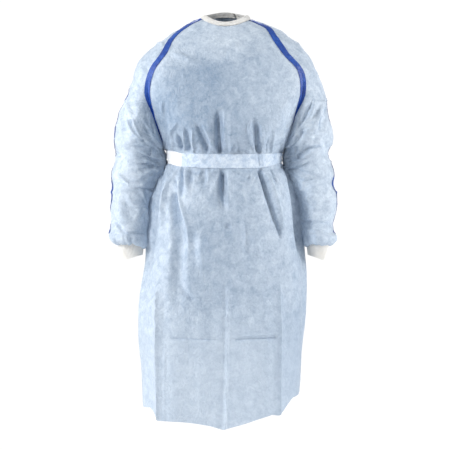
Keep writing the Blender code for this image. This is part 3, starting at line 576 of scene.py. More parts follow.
# %% [markdown]
# ## The three kinds of panel
#
# Each function takes row numbers and a rule that says where on each line the columns go, and gives
# the points, each point's distance round the body or place round the sleeve, and its distance from
# the nearest raglan seam. The same functions serve a whole panel and the narrow strip under a tape.

# %% Front
OVERLAP_AT_NECK, OVERLAP_AT_HEM = 0.026, 0.070
UNDER_DROP = 0.0031      # the under back panel lies this far inside the other
ARMPIT_GAP = 0.0020


def whole(share, inset=0.0003):
    """Columns at shares of the whole width, a hair inside both edges."""
    return lambda length: inset + (length - 2 * inset) * share


def front_cloth(rows, columns):
    ring, left, right, _, _ = seam_angles(rows)
    line = oval(ring, left + (right - left) * SHARE)
    far = distances(line)
    at = columns(far[:, -1:])
    points = hung(read_lines(line, far, at), rows, "front")
    middle = read_lines(far[..., None], np.repeat(SHARE, len(rows), 0), -left / (right - left))[..., 0]
    to_seam = np.where(rows[:, None] < UNDERARM, np.minimum(at, far[:, -1:] - at), 1.0)
    return {"points": points, "around": at - middle, "to_seam": to_seam}


def back_cloth(rows, columns, side):
    sign = 1 if side == "right" else -1
    ring, _, _, back_right, back_left = seam_angles(rows)
    start = back_right if side == "right" else back_left - 2 * math.pi
    line = oval(ring, start + (sign * math.pi * 1.35 - start) * SHARE)
    far = distances(line)
    middle = (sign * math.pi - start) / (sign * math.pi * 1.35 - start)
    to_centre = read_lines(far[..., None], np.repeat(SHARE, len(rows), 0), middle)[..., 0]
    past = (OVERLAP_AT_NECK + (OVERLAP_AT_HEM - OVERLAP_AT_NECK) * rows / HEM)[:, None]
    at = columns(to_centre + past)
    points = hung(read_lines(line, far, at), rows, "behind")
    half = distances(oval(ring, sign * math.pi * SHARE))[:, -1:]
    under = UNDER_DROP * smoothstep(at / (to_centre - past)) if side == "left" else 0 * at
    to_seam = np.where(rows[:, None] < UNDERARM, at, 1.0)
    return {
        "points": points, "around": sign * (half - to_centre + at), "to_seam": to_seam,
        "under": under, "to_edge": to_centre + past - at,
    }


rows = even_rows(0, HEM, 12, RINGS["front"], RINGS["ahead"])
print("rows of the front:", rows.round(1))


# %% Sleeve
def loop(sign, inner, outer, middle, half_depth, height, tilt=0.0):
    """A closed ring round an arm, from its inner side round by the front: half a width of cosine
    sideways, half a depth of sine front to back."""
    turn = math.pi * (2 * SHARE - 1)
    return np.stack([
        sign * ((inner + outer) / 2 + (outer - inner) / 2 * np.cos(turn)),
        middle + half_depth * np.sin(turn),
        height + tilt * np.cos(turn),
    ], axis=-1)


def crown_lines(rows, side):
    """The sleeve's lines above the underarm: the body's ring widened to the sleeve's reach, turned
    step by step into the ring of an arm, with both ends led to the seams."""
    ring, front_left, front_right, back_right, back_left = seam_angles(rows)
    crown = {name: along(CROWN[name], rows)[:, None] for name in CROWN_COLUMNS}
    sign = 1 if side == "right" else -1
    start = front_right if side == "right" else front_left
    end = back_right if side == "right" else back_left - 2 * math.pi
    reach = crown[side + "_reach"]
    body = oval(ring, start + (end - start) * SHARE, reach, reach)
    turn = np.radians(crown["round"]) * (2 * SHARE - 1)
    first_height, last_height = body[:, :1, 2], body[:, -1:, 2]
    height = np.where(
        SHARE < 0.5,
        first_height + (ring["side"] - first_height) * 2 * SHARE,
        ring["side"] + (last_height - ring["side"]) * (2 * SHARE - 1),
    )
    arm = np.stack([
        sign * (reach - crown["half_width"] + crown["half_width"] * np.cos(turn)),
        crown["middle"] + crown["half_depth"] * np.sin(turn),
        height,
    ], axis=-1)
    line = body + (arm - body) * crown["arm"][..., None]
    gap = np.zeros((len(rows), 1, 3))
    gap[:, 0, 0] = sign * ARMPIT_GAP * np.clip((rows - 7.5) / 0.5, 0, 1)
    first, last = oval(ring, start) + gap, oval(ring, end) + gap
    near = 0.38      # the share of the line over which an end is led to its seam
    lead = np.clip(1 - SHARE / near, 0, 1)[..., None] ** 2
    trail = np.clip(1 - (1 - SHARE) / near, 0, 1)[..., None] ** 2
    return line + (first - line[:, :1]) * lead + (last - line[:, -1:]) * trail


def arm_lines(rows, side):
    at = {name: along(ARM[name], rows)[:, None] for name in ARM_COLUMNS}
    sign = 1 if side == "right" else -1
    return loop(sign, at[side + "_in"], at[side + "_out"], at["middle"], at["half_depth"], at["height"])


def sleeve_cloth(rows, columns, side):
    """Rows count on from the underarm: the first 8 are the body's rings, the rest the arm's."""
    crown = rows[rows <= UNDERARM]
    arm = rows[rows > UNDERARM] - UNDERARM
    parts = [crown_lines(crown, side)] if len(crown) else []
    parts += [arm_lines(arm, side)] if len(arm) else []
    line = np.concatenate(parts)
    far = distances(line)
    at = columns(far[:, -1:])
    degrees = 360 * at / far[:, -1:] - 180
    from_seam = (180 - np.abs(degrees)) / 360 * far[:, -1:]
    return {
        "points": read_lines(line, far, at), "degrees": degrees, "girth": far[:, -1:],
        "to_seam": np.where(rows[:, None] <= UNDERARM, from_seam, 1.0),
    }


def sleeve_rows(count):
    """Rows that lie evenly from the neck to the sleeve's end."""
    heights = np.concatenate([RINGS["side"][:UNDERARM + 1], ARM["height"][1:]])
    reach = np.concatenate([CROWN["right_reach"], ARM["right_out"][1:]])
    return even_rows(0, UNDERARM + SLEEVE_END, count, heights, reach)


print("rows of a sleeve:", sleeve_rows(10).round(1))

# %% [markdown]
# ## Folds, creases and the small unevenness of cloth
#
# Real drape has three sizes. The large folds are the model's own, kept here as they are. The creases
# are placed from the picture: each is a line on the cloth with a width to either side, since
# a fold often falls steeply on one side only, and a softness, from a pressed edge to a round swell.
# The last size is noise in space, the same for two panels where they meet, so that no seam opens.

# %% Large folds
FOLD_COLUMNS = (
    "round_1", "height_1", "round_2", "height_2", "half_1", "half_2", "depth", "fade_1", "fade_2",
)
BODY_FOLDS = (
    # above the belt, in front
    (-0.015, -0.225, -0.014, -0.338, 0.017, 0.011, -0.011, 0.4, 0.0),
    (0.004, -0.222, 0.004, -0.338, 0.016, 0.011, 0.006, 0.4, 0.0),
    (0.072, -0.246, 0.086, -0.338, 0.020, 0.010, -0.010, 0.45, 0.0),
    (0.104, -0.250, 0.106, -0.338, 0.020, 0.014, 0.003, 0.5, 0.0),
    (-0.066, -0.262, -0.045, -0.338, 0.014, 0.010, -0.009, 0.4, 0.0),
    (-0.045, -0.250, -0.029, -0.338, 0.014, 0.010, 0.005, 0.4, 0.0),
    (-0.098, -0.270, -0.096, -0.338, 0.015, 0.011, -0.009, 0.4, 0.0),
    (-0.122, -0.286, -0.121, -0.338, 0.013, 0.011, -0.007, 0.4, 0.0),
    (-0.146, -0.240, -0.152, -0.338, 0.016, 0.012, 0.006, 0.5, 0.0),
    # below the belt, in front
    (-0.006, -0.371, -0.006, -0.500, 0.010, 0.024, -0.011, 0.0, 0.6),
    (0.012, -0.371, 0.010, -0.520, 0.010, 0.020, 0.005, 0.0, 0.6),
    (0.088, -0.371, 0.146, -0.560, 0.010, 0.020, -0.011, 0.0, 0.4),
    (0.108, -0.371, 0.168, -0.560, 0.010, 0.022, 0.005, 0.0, 0.5),
    (-0.052, -0.371, -0.056, -0.430, 0.010, 0.014, -0.007, 0.0, 0.5),
    (-0.086, -0.371, -0.090, -0.430, 0.010, 0.014, -0.006, 0.0, 0.5),
    (-0.112, -0.371, -0.114, -0.470, 0.010, 0.016, -0.009, 0.0, 0.5),
    (-0.096, -0.376, -0.098, -0.460, 0.008, 0.018, 0.006, 0.1, 0.5),
    (-0.140, -0.404, -0.118, -0.560, 0.016, 0.026, -0.012, 0.3, 0.0),
    (-0.118, -0.560, -0.116, -0.760, 0.026, 0.034, -0.012, 0.0, 0.7),
    (-0.160, -0.376, -0.186, -0.600, 0.012, 0.022, 0.007, 0.1, 0.5),
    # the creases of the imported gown, down the skirt
    (0.003, -0.560, 0.000, -1.030, 0.040, 0.046, 0.006, 0.4, 0.0),
    (0.070, -0.640, 0.075, -1.030, 0.040, 0.040, -0.005, 0.5, 0.0),
    (-0.080, -0.700, -0.090, -1.030, 0.050, 0.050, -0.004, 0.5, 0.0),
    (-0.176, -0.620, -0.172, -1.030, 0.022, 0.022, 0.006, 0.3, 0.0),
    (0.139, -0.620, 0.139, -1.030, 0.022, 0.022, 0.005, 0.3, 0.0),
    # sides
    (0.200, -0.371, 0.235, -0.640, 0.012, 0.030, -0.012, 0.0, 0.4),
    (0.240, -0.371, 0.290, -0.900, 0.012, 0.036, 0.009, 0.0, 0.3),
    (-0.200, -0.371, -0.232, -0.660, 0.012, 0.030, -0.011, 0.0, 0.4),
    (-0.236, -0.371, -0.285, -0.920, 0.012, 0.036, 0.009, 0.0, 0.3),
    # behind
    (0.300, -0.371, 0.360, -0.960, 0.013, 0.040, -0.013, 0.0, 0.2),
    (-0.296, -0.371, -0.350, -0.960, 0.013, 0.040, -0.013, 0.0, 0.2),
    (0.345, -0.371, 0.420, -0.760, 0.013, 0.034, 0.009, 0.0, 0.4),
    (-0.340, -0.371, -0.410, -0.800, 0.013, 0.034, 0.009, 0.0, 0.4),
    (0.300, -0.215, 0.290, -0.338, 0.026, 0.012, -0.010, 0.5, 0.0),
    (0.346, -0.190, 0.338, -0.338, 0.026, 0.012, 0.007, 0.5, 0.0),
    (-0.296, -0.205, -0.286, -0.338, 0.026, 0.012, -0.010, 0.5, 0.0),
    (-0.350, -0.200, -0.336, -0.338, 0.026, 0.012, 0.006, 0.5, 0.0),
)
ARM_FOLDS = (
    (-40, -0.200, -95, -0.300, 0.014, 0.018, -0.008, 0.4, 0.4),
    (-62, -0.190, -120, -0.270, 0.012, 0.014, 0.005, 0.4, 0.4),
    (-60, -0.322, -165, -0.338, 0.012, 0.012, -0.007, 0.4, 0.1),
    (-75, -0.352, -165, -0.362, 0.011, 0.011, -0.008, 0.4, 0.1),
    (-90, -0.372, -160, -0.380, 0.010, 0.010, 0.004, 0.4, 0.2),
    (-30, -0.400, -130, -0.420, 0.012, 0.012, -0.006, 0.4, 0.3),
    (-60, -0.430, -110, -0.520, 0.016, 0.016, -0.005, 0.4, 0.4),
    (-100, -0.540, 20, -0.532, 0.010, 0.010, -0.006, 0.3, 0.3),
    (60, -0.300, 150, -0.340, 0.014, 0.014, -0.008, 0.4, 0.2),
    (50, -0.350, 150, -0.372, 0.012, 0.012, -0.007, 0.4, 0.2),
    (40, -0.400, 120, -0.440, 0.014, 0.014, -0.006, 0.4, 0.3),
    (70, -0.220, 110, -0.290, 0.016, 0.018, -0.006, 0.4, 0.4),
)
SEAM_HOLD = 0.028        # distance from a raglan seam over which it flattens the folds
BELT_PRESS = 0.008       # height above and below the belt over which it does the same


def body_folds(around, height):
    """Across each fold the cloth moves out by the square of a cosine, times how far the fold shows
    at that height. Minus is a trough."""
    moved = np.zeros_like(around)
    for g1, z1, g2, z2, half_1, half_2, depth, fade_1, fade_2 in BODY_FOLDS:
        t = (z1 - height) / (z1 - z2)
        inside = np.clip(t, 0, 1)
        off = (around - (g1 + (g2 - g1) * inside)) / (half_1 + (half_2 - half_1) * inside)
        shape = np.where(np.abs(off) < 1, np.cos(off * math.pi / 2) ** 2, 0)
        shown = smoothstep(t / fade_1) if fade_1 else np.where(t >= 0, 1.0, 0.0)
        shown = shown * (smoothstep((1 - t) / fade_2) if fade_2 else np.where(t <= 1, 1.0, 0.0))
        moved += depth * shape * shown
    return moved


def arm_folds(degrees, height, girth):
    """The same on a sleeve, by the distance from the fold's line on the cloth laid flat."""
    moved = np.zeros_like(degrees)
    for a1, z1, a2, z2, half_1, half_2, depth, fade_1, fade_2 in ARM_FOLDS:
        x, y = (degrees - a1) / 360 * girth, height - z1
        dx, dy = (a2 - a1) / 360 * girth, z2 - z1
        t = np.clip((x * dx + y * dy) / (dx**2 + dy**2), 0, 1)
        off = np.hypot(x - t * dx, y - t * dy) / (half_1 + (half_2 - half_1) * t)
        shape = np.where(off < 1, np.cos(np.minimum(off, 1) * math.pi / 2) ** 2, 0)
        moved += depth * shape * smoothstep(t / fade_1) * smoothstep((1 - t) / fade_2)
    return moved


print("deepest fold", max(abs(f[6]) for f in BODY_FOLDS) * 1000, "mm")

# %% [markdown]
# ### Creases, one by one
#
# Each row is a line through two to five places on the cloth, the crease's half width on either side
# of it, its depth, its softness, and the shares of its length over which it starts and ends. On the
# body a place is the distance round from the centre of the front and the height, on a sleeve it is
# the angle from the outer side, minus in front, and the height.

# %% The creases
CREASE_COLUMNS = ("line", "left", "right", "depth", "soft", "start", "end")
FRONT_CREASES = (
    # chest
    (((-0.146, -0.085), (-0.057, -0.118)), 0.016, 0.012, 0.0030, 0.9, 0.4, 0.4),
    (((-0.005, -0.112), (0.047, -0.062)), 0.014, 0.012, 0.0025, 0.9, 0.4, 0.4),
    (((-0.160, -0.205), (-0.167, -0.250)), 0.006, 0.007, 0.0025, 0.5, 0.4, 0.4),
    (((-0.119, -0.262), (-0.134, -0.276), (-0.152, -0.294)), 0.006, 0.009, 0.0035, 0.4, 0.4, 0.4),
    # gathered above the belt
    (((-0.017, -0.228), (-0.016, -0.285), (-0.013, -0.345)), 0.011, 0.005, -0.0045, 0.3, 0.35, 0.0),
    (((-0.004, -0.225), (-0.002, -0.283), (0.001, -0.334)), 0.006, 0.012, 0.0035, 0.4, 0.4, 0.3),
    (((-0.073, -0.262), (-0.056, -0.307), (-0.040, -0.347)), 0.009, 0.005, -0.0040, 0.3, 0.3, 0.0),
    (((-0.060, -0.258), (-0.037, -0.307), (-0.018, -0.347)), 0.006, 0.009, 0.0030, 0.2, 0.35, 0.0),
    (((-0.057, -0.318), (-0.045, -0.347)), 0.004, 0.005, 0.0022, 0.2, 0.4, 0.0),
    (((-0.100, -0.275), (-0.096, -0.312), (-0.088, -0.344)), 0.007, 0.005, -0.0040, 0.3, 0.35, 0.0),
    (((-0.106, -0.280), (-0.108, -0.342)), 0.004, 0.005, 0.0028, 0.2, 0.35, 0.0),
    (((-0.081, -0.278), (-0.080, -0.344)), 0.005, 0.005, 0.0028, 0.2, 0.35, 0.0),
    (((-0.126, -0.290), (-0.121, -0.340)), 0.005, 0.004, -0.0032, 0.3, 0.35, 0.0),
    (((0.070, -0.248), (0.058, -0.280), (0.067, -0.313), (0.079, -0.346)), 0.005, 0.006, 0.0032, 0.2, 0.25, 0.0),
    (((0.073, -0.246), (0.091, -0.273), (0.096, -0.294), (0.094, -0.346)), 0.005, 0.006, 0.0032, 0.2, 0.25, 0.0),
    (((0.078, -0.258), (0.086, -0.290), (0.087, -0.347)), 0.010, 0.006, -0.0050, 0.4, 0.4, 0.0),
    (((0.114, -0.296), (0.109, -0.344)), 0.006, 0.006, -0.0020, 0.6, 0.4, 0.0),
    (((0.134, -0.276), (0.127, -0.342)), 0.007, 0.007, 0.0022, 0.5, 0.4, 0.0),
    (((0.030, -0.300), (0.034, -0.346)), 0.008, 0.008, -0.0016, 0.7, 0.5, 0.0),
    # gathered below the belt
    (((-0.139, -0.362), (-0.142, -0.388)), 0.004, 0.005, -0.0032, 0.4, 0.0, 0.4),
    (((-0.130, -0.374), (-0.145, -0.398), (-0.160, -0.420), (-0.170, -0.470), (-0.180, -0.520)),
     0.008, 0.007, 0.0040, 0.3, 0.15, 0.4),
    (((-0.116, -0.373), (-0.112, -0.445)), 0.005, 0.005, -0.0040, 0.4, 0.0, 0.4),
    (((-0.107, -0.376), (-0.096, -0.430)), 0.005, 0.008, 0.0035, 0.3, 0.1, 0.4),
    (((-0.139, -0.398), (-0.123, -0.434)), 0.006, 0.005, -0.0032, 0.4, 0.2, 0.3),
    (((-0.134, -0.430), (-0.127, -0.462), (-0.112, -0.497), (-0.101, -0.540), (-0.102, -0.610)),
     0.030, 0.006, -0.0060, 0.6, 0.15, 0.3),
    (((-0.124, -0.432), (-0.117, -0.465), (-0.102, -0.500), (-0.091, -0.542), (-0.093, -0.620)),
     0.005, 0.014, 0.0032, 0.3, 0.2, 0.4),
    (((-0.092, -0.388), (-0.078, -0.422)), 0.005, 0.005, -0.0028, 0.4, 0.2, 0.4),
    (((-0.048, -0.378), (-0.048, -0.400)), 0.005, 0.005, -0.0034, 0.4, 0.0, 0.5),
    (((-0.040, -0.384), (-0.042, -0.424)), 0.004, 0.005, 0.0022, 0.3, 0.2, 0.5),
    (((-0.008, -0.377), (-0.005, -0.430), (0.001, -0.492)), 0.008, 0.009, -0.0052, 0.5, 0.0, 0.5),
    (((0.007, -0.386), (0.009, -0.494)), 0.004, 0.007, 0.0030, 0.2, 0.2, 0.4),
    (((0.034, -0.378), (0.037, -0.404)), 0.008, 0.008, -0.0013, 0.7, 0.0, 0.5),
    (((0.058, -0.377), (0.066, -0.418)), 0.008, 0.008, -0.0014, 0.7, 0.0, 0.5),
    (((0.091, -0.376), (0.117, -0.446), (0.133, -0.498), (0.143, -0.530), (0.142, -0.562)),
     0.012, 0.006, -0.0055, 0.4, 0.0, 0.3),
    (((0.103, -0.382), (0.129, -0.446), (0.146, -0.500), (0.156, -0.540)), 0.006, 0.013, 0.0034, 0.3, 0.1, 0.4),
    (((0.124, -0.376), (0.140, -0.420)), 0.005, 0.006, -0.0026, 0.4, 0.0, 0.5),
    # skirt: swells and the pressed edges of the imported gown
    (((-0.118, -0.668), (-0.094, -0.690), (-0.071, -0.706)), 0.007, 0.012, -0.0034, 0.5, 0.35, 0.35),
    (((-0.004, -0.520), (0.018, -0.524)), 0.013, 0.013, -0.0034, 0.9, 0.4, 0.4),
    (((0.073, -0.556), (0.093, -0.606)), 0.009, 0.009, 0.0020, 0.7, 0.4, 0.4),
    (((-0.060, -0.520), (-0.050, -0.640)), 0.022, 0.018, 0.0044, 0.9, 0.4, 0.4),
    (((0.052, -0.470), (0.060, -0.620)), 0.020, 0.024, -0.0044, 0.9, 0.4, 0.4),
    (((-0.176, -0.655), (-0.174, -0.800), (-0.171, -1.03)), 0.007, 0.007, 0.0026, 0.0, 0.2, 0.0),
    (((-0.152, -0.780), (-0.153, -1.03)), 0.004, 0.005, 0.0010, 0.0, 0.3, 0.0),
    (((0.006, -0.600), (0.007, -0.780), (0.000, -1.03)), 0.008, 0.008, 0.0026, 0.0, 0.35, 0.0),
    (((0.138, -0.620), (0.139, -0.800), (0.139, -1.03)), 0.007, 0.007, 0.0024, 0.0, 0.25, 0.0),
    (((-0.172, -0.795), (-0.110, -0.798), (-0.070, -0.799), (0.002, -0.799)), 0.006, 0.006, -0.0020, 0.1, 0.05, 0.1),
    (((0.018, -0.800), (0.072, -0.797), (0.136, -0.795)), 0.005, 0.005, -0.0018, 0.1, 0.1, 0.1),
    (((0.024, -0.792), (0.072, -0.789), (0.134, -0.787)), 0.005, 0.004, 0.0024, 0.1, 0.2, 0.1),
)
BACK_CREASES = (
    (((0.232, -0.262), (0.246, -0.345)), 0.008, 0.006, -0.0036, 0.4, 0.4, 0.0),
    (((0.262, -0.270), (0.268, -0.345)), 0.007, 0.009, 0.0032, 0.3, 0.4, 0.0),
    (((0.330, -0.250), (0.324, -0.345)), 0.006, 0.008, -0.0036, 0.4, 0.4, 0.0),
    (((-0.236, -0.262), (-0.248, -0.345)), 0.006, 0.008, -0.0036, 0.4, 0.4, 0.0),
    (((-0.266, -0.270), (-0.272, -0.345)), 0.008, 0.007, 0.0032, 0.3, 0.4, 0.0),
    (((-0.330, -0.250), (-0.322, -0.345)), 0.008, 0.006, -0.0036, 0.4, 0.4, 0.0),
    (((0.180, -0.374), (0.196, -0.470)), 0.006, 0.008, 0.0032, 0.3, 0.1, 0.5),
    (((0.262, -0.374), (0.288, -0.470)), 0.008, 0.006, -0.0040, 0.4, 0.0, 0.5),
    (((0.322, -0.374), (0.352, -0.560)), 0.006, 0.010, 0.0034, 0.3, 0.1, 0.5),
    (((0.366, -0.374), (0.392, -0.440)), 0.006, 0.006, -0.0030, 0.4, 0.0, 0.5),
    (((-0.180, -0.374), (-0.198, -0.470)), 0.008, 0.006, 0.0032, 0.3, 0.1, 0.5),
    (((-0.262, -0.374), (-0.290, -0.480)), 0.006, 0.008, -0.0040, 0.4, 0.0, 0.5),
    (((-0.322, -0.374), (-0.350, -0.560)), 0.010, 0.006, 0.0034, 0.3, 0.1, 0.5),
    (((0.300, -0.700), (0.302, -1.03)), 0.007, 0.007, 0.0022, 0.0, 0.3, 0.0),
    (((-0.306, -0.700), (-0.306, -1.03)), 0.007, 0.007, 0.0022, 0.0, 0.3, 0.0),
    (((0.205, -0.799), (0.420, -0.796)), 0.006, 0.006, -0.0018, 0.1, 0.1, 0.1),
    (((-0.205, -0.797), (-0.420, -0.799)), 0.006, 0.006, -0.0018, 0.1, 0.1, 0.1),
    (((0.300, -0.090), (0.340, -0.150)), 0.014, 0.014, 0.0024, 0.9, 0.4, 0.4),
    (((-0.300, -0.090), (-0.340, -0.150)), 0.014, 0.014, 0.0024, 0.9, 0.4, 0.4),
)
SLEEVE_CREASES = {
    "left": (
        (((-83, -0.246), (-117, -0.308)), 0.007, 0.007, 0.0042, 0.2, 0.3, 0.3),
        (((-108, -0.250), (-121, -0.308)), 0.005, 0.006, 0.0032, 0.2, 0.3, 0.3),
        (((-98, -0.248), (-112, -0.300)), 0.005, 0.005, -0.0036, 0.4, 0.3, 0.3),
        (((-104, -0.306), (-121, -0.315)), 0.004, 0.004, 0.0022, 0.2, 0.3, 0.3),
        (((-72, -0.330), (-104, -0.346), (-160, -0.357)), 0.0035, 0.016, -0.0048, 0.4, 0.35, 0.1),
        (((-100, -0.342), (-168, -0.333)), 0.0035, 0.010, -0.0036, 0.3, 0.35, 0.1),
        (((-96, -0.352), (-150, -0.365)), 0.005, 0.005, 0.0034, 0.2, 0.3, 0.2),
        (((-84, -0.362), (-160, -0.371)), 0.0035, 0.014, -0.0042, 0.4, 0.35, 0.1),
        (((-122, -0.373), (-142, -0.375)), 0.006, 0.006, -0.0050, 0.5, 0.3, 0.3),
        (((-42, -0.386), (-84, -0.418)), 0.010, 0.0045, 0.0040, 0.3, 0.3, 0.4),
        (((-92, -0.424), (-166, -0.428)), 0.0035, 0.012, -0.0034, 0.3, 0.3, 0.1),
        (((-70, -0.460), (-120, -0.485)), 0.008, 0.009, -0.0030, 0.6, 0.4, 0.4),
        (((-36, -0.500), (-60, -0.515), (-87, -0.536), (-160, -0.537)), 0.006, 0.011, -0.0030, 0.4, 0.2, 0.1),
        (((-30, -0.180), (-60, -0.235)), 0.010, 0.010, -0.0030, 0.7, 0.4, 0.4),
        (((-10, -0.330), (-48, -0.350)), 0.007, 0.007, -0.0034, 0.4, 0.3, 0.4),
    ),
    "right": (
        (((-135, -0.198), (-137, -0.243), (-154, -0.272)), 0.009, 0.007, -0.0050, 0.4, 0.3, 0.3),
        (((-124, -0.205), (-127, -0.262)), 0.007, 0.009, 0.0030, 0.5, 0.4, 0.4),
        (((-133, -0.270), (-138, -0.301), (-134, -0.330)), 0.016, 0.012, -0.0050, 0.6, 0.3, 0.3),
        (((-168, -0.348), (-117, -0.342), (-83, -0.321), (-44, -0.302)), 0.016, 0.0035, -0.0048, 0.3, 0.1, 0.35),
        (((-150, -0.357), (-110, -0.352), (-70, -0.330)), 0.006, 0.006, 0.0034, 0.2, 0.2, 0.4),
        (((-168, -0.376), (-125, -0.373), (-74, -0.355)), 0.014, 0.0035, -0.0042, 0.4, 0.1, 0.35),
        (((-97, -0.226), (-108, -0.296)), 0.007, 0.007, 0.0038, 0.2, 0.3, 0.3),
        (((-84, -0.232), (-96, -0.290)), 0.006, 0.007, -0.0030, 0.4, 0.3, 0.3),
        (((-60, -0.395), (-130, -0.412)), 0.008, 0.008, -0.0032, 0.5, 0.4, 0.4),
        (((-90, -0.440), (-140, -0.455)), 0.007, 0.008, 0.0026, 0.4, 0.4, 0.4),
        (((-168, -0.505), (-70, -0.513), (-20, -0.508)), 0.012, 0.007, -0.0026, 0.4, 0.1, 0.3),
        (((-165, -0.531), (-50, -0.532)), 0.009, 0.009, 0.0020, 0.7, 0.2, 0.3),
        (((-28, -0.190), (-60, -0.245)), 0.010, 0.010, -0.0030, 0.7, 0.4, 0.4),
        (((-10, -0.326), (-46, -0.312)), 0.007, 0.007, -0.0034, 0.4, 0.3, 0.3),
    ),
    "behind": (
        (((80, -0.250), (120, -0.306)), 0.007, 0.007, 0.0038, 0.3, 0.3, 0.3),
        (((60, -0.312), (110, -0.330), (160, -0.340)), 0.007, 0.006, -0.0045, 0.4, 0.3, 0.2),
        (((70, -0.362), (120, -0.372), (160, -0.376)), 0.006, 0.007, -0.0042, 0.4, 0.3, 0.2),
        (((50, -0.412), (110, -0.428)), 0.007, 0.008, -0.0034, 0.5, 0.3, 0.3),
        (((60, -0.500), (150, -0.510)), 0.006, 0.006, -0.0040, 0.3, 0.2, 0.2),
    ),
}


def creases(x, y, rows, scale=1.0):
    """How far the creases move the cloth out. On either side of its line a crease falls as
    (1 - a)^2 (1 + 2 a soft), where a is the distance in half widths: an edge where soft is 0, a
    smooth swell where it is 1. Scale turns the places' first number into metres."""
    moved = np.zeros_like(y)
    for line, left, right, depth, soft, start, end in rows:
        knots = np.array(line, float)
        count = 4 * (len(knots) - 1) + 1 if len(knots) > 2 else 2
        at = np.linspace(0, len(knots) - 1, count)
        px, py = along(knots[:, 0], at), along(knots[:, 1], at)
        best = np.full(y.shape, 9.0)
        side, share = np.zeros_like(y), np.zeros_like(y)
        for k in range(count - 1):
            dx, dy = (px[k + 1] - px[k]) * scale, py[k + 1] - py[k]
            ox, oy = (x - px[k]) * scale, y - py[k]
            t = np.clip((ox * dx + oy * dy) / (dx**2 + dy**2), 0, 1)
            off = np.hypot(ox - t * dx, oy - t * dy)
            nearer = off < best
            best = np.where(nearer, off, best)
            side = np.where(nearer, dx * oy - dy * ox, side)
            share = np.where(nearer, (k + t) / (count - 1), share)
        a = np.clip(best / np.where(side < 0, left, right), 0, 1)
        shown = smoothstep(share / start) if start else 1.0
        shown = shown * (smoothstep((1 - share) / end) if end else 1.0)
        moved += depth * shown * (1 - a) ** 2 * (1 + 2 * a * soft)
    return moved


def wrapped(x, y, centres):
    """Wrinkles that run out from a point where cloth is pinched, such as the inside of an elbow: noise
    on the direction from the point, so that they widen on their way out, fading to its reach."""
    moved = np.zeros_like(y)
    for number, (cx, cy, reach, depth, count) in enumerate(centres):
        dx, dy = x - cx, y - cy
        away = np.hypot(dx, dy) + 1e-9
        way = np.stack([dx / away, dy / away, 0 * away + 7.3 * number], axis=-1)
        bent = way + 0.10 * soft_noise(np.stack([dx, dy, 0 * dx], -1), 0.05, 71)[..., None]
        fade = smoothstep(away / 0.018) * (1 - smoothstep((away / reach - 0.25) / 0.75))
        pulled = soft_noise(bent, 2.4 / count, 72) + 0.5 * soft_noise(bent, 1.2 / count, 73)
        moved += depth * fade * pulled
    return moved


BODY_PINCHES = (
    # distance round, height, reach, depth, how many
    (-0.215, -0.352, 0.150, 0.0042, 14), (0.215, -0.352, 0.150, 0.0040, 13),
    (-0.112, -0.340, 0.075, 0.0030, 12), (-0.045, -0.342, 0.085, 0.0030, 12),
    (0.088, -0.344, 0.085, 0.0034, 12), (0.010, -0.344, 0.070, 0.0022, 12),
    (-0.112, -0.374, 0.110, 0.0036, 12), (-0.005, -0.376, 0.110, 0.0034, 12),
    (0.092, -0.374, 0.120, 0.0036, 12), (-0.050, -0.376, 0.070, 0.0026, 11),
    (0.300, -0.340, 0.100, 0.0034, 12), (-0.300, -0.340, 0.100, 0.0034, 12),
    (0.300, -0.374, 0.130, 0.0036, 12), (-0.300, -0.374, 0.130, 0.0036, 12),
    (-0.170, -0.285, 0.070, 0.0022, 10), (0.170, -0.285, 0.070, 0.0022, 10),
)
ARM_PINCHES = {
    # degrees, height, reach, depth, how many
    "left": (
        (-168, -0.352, 0.135, 0.0090, 13), (-150, -0.300, 0.095, 0.0055, 12),
        (165, -0.350, 0.120, 0.0050, 13), (-120, -0.470, 0.080, 0.0030, 10), (100, -0.240, 0.090, 0.0034, 11),
    ),
    "right": (
        (-168, -0.360, 0.135, 0.0085, 13), (-140, -0.285, 0.105, 0.0055, 12),
        (165, -0.356, 0.120, 0.0050, 13), (-130, -0.455, 0.080, 0.0028, 10), (100, -0.240, 0.090, 0.0034, 11),
    ),
}
print(len(FRONT_CREASES) + len(BACK_CREASES), "creases on the body")

# %% [markdown]
# ### Noise in space
#
# Random numbers sit at the corners of a lattice of cubes, and a point takes the smooth blend of its
# cube's eight corners. The seed is fixed, so every run gives the same cloth. Crumpled film has thin
# raised lines where the noise changes sign, which one minus its size gives.


# %% Unevenness
def soft_noise(points, size, seed):
    """Smooth noise from -1 to 1, with swells about one size across."""
    lattice = np.random.default_rng(seed).uniform(-1, 1, (32, 32, 32))
    place = points / size + 16.0
    low = np.floor(place).astype(int)
    t = smoothstep(place - low)
    total = np.zeros(points.shape[:-1])
    for corner in np.ndindex(2, 2, 2):
        pick = (low + np.array(corner)) % 32
        weight = np.prod(np.where(np.array(corner), t, 1 - t), axis=-1)
        total += weight * lattice[pick[..., 0], pick[..., 1], pick[..., 2]]
    return total


def crumple(points, size, seed):
    """Thin raised lines between flat facets: one minus the noise's size, to the fourth power."""
    return (1 - np.minimum(1, np.abs(soft_noise(points, size, seed)) * 1.6)) ** 4


def unevenness(points, amount=1.0):
    """Slow swells, smaller ones and a fine crumple, drawn out up and down as cloth hangs."""
    drawn = points * np.array([1.0, 1.0, 0.55])
    return amount * (
        0.0024 * soft_noise(drawn, 0.075, 1) + 0.0011 * soft_noise(drawn, 0.030, 2)
        + 0.00080 * crumple(drawn, 0.040, 3) + 0.00045 * crumple(points, 0.018, 4)
    )


# %% [markdown]
# Light and shade are painted into the cloth's colour on the front. Each row of the table is a place
# of painted shade or painted light, an ellipse on the front: its middle, its two half sizes, and how
# much paler it is painted. Minus is darker: painted shade on the chest, the lap, the skirt's sides and
# under the arms. Plus is painted light under the neck, on the shoulders' front, near the hem and on
# the sleeves' outer halves.

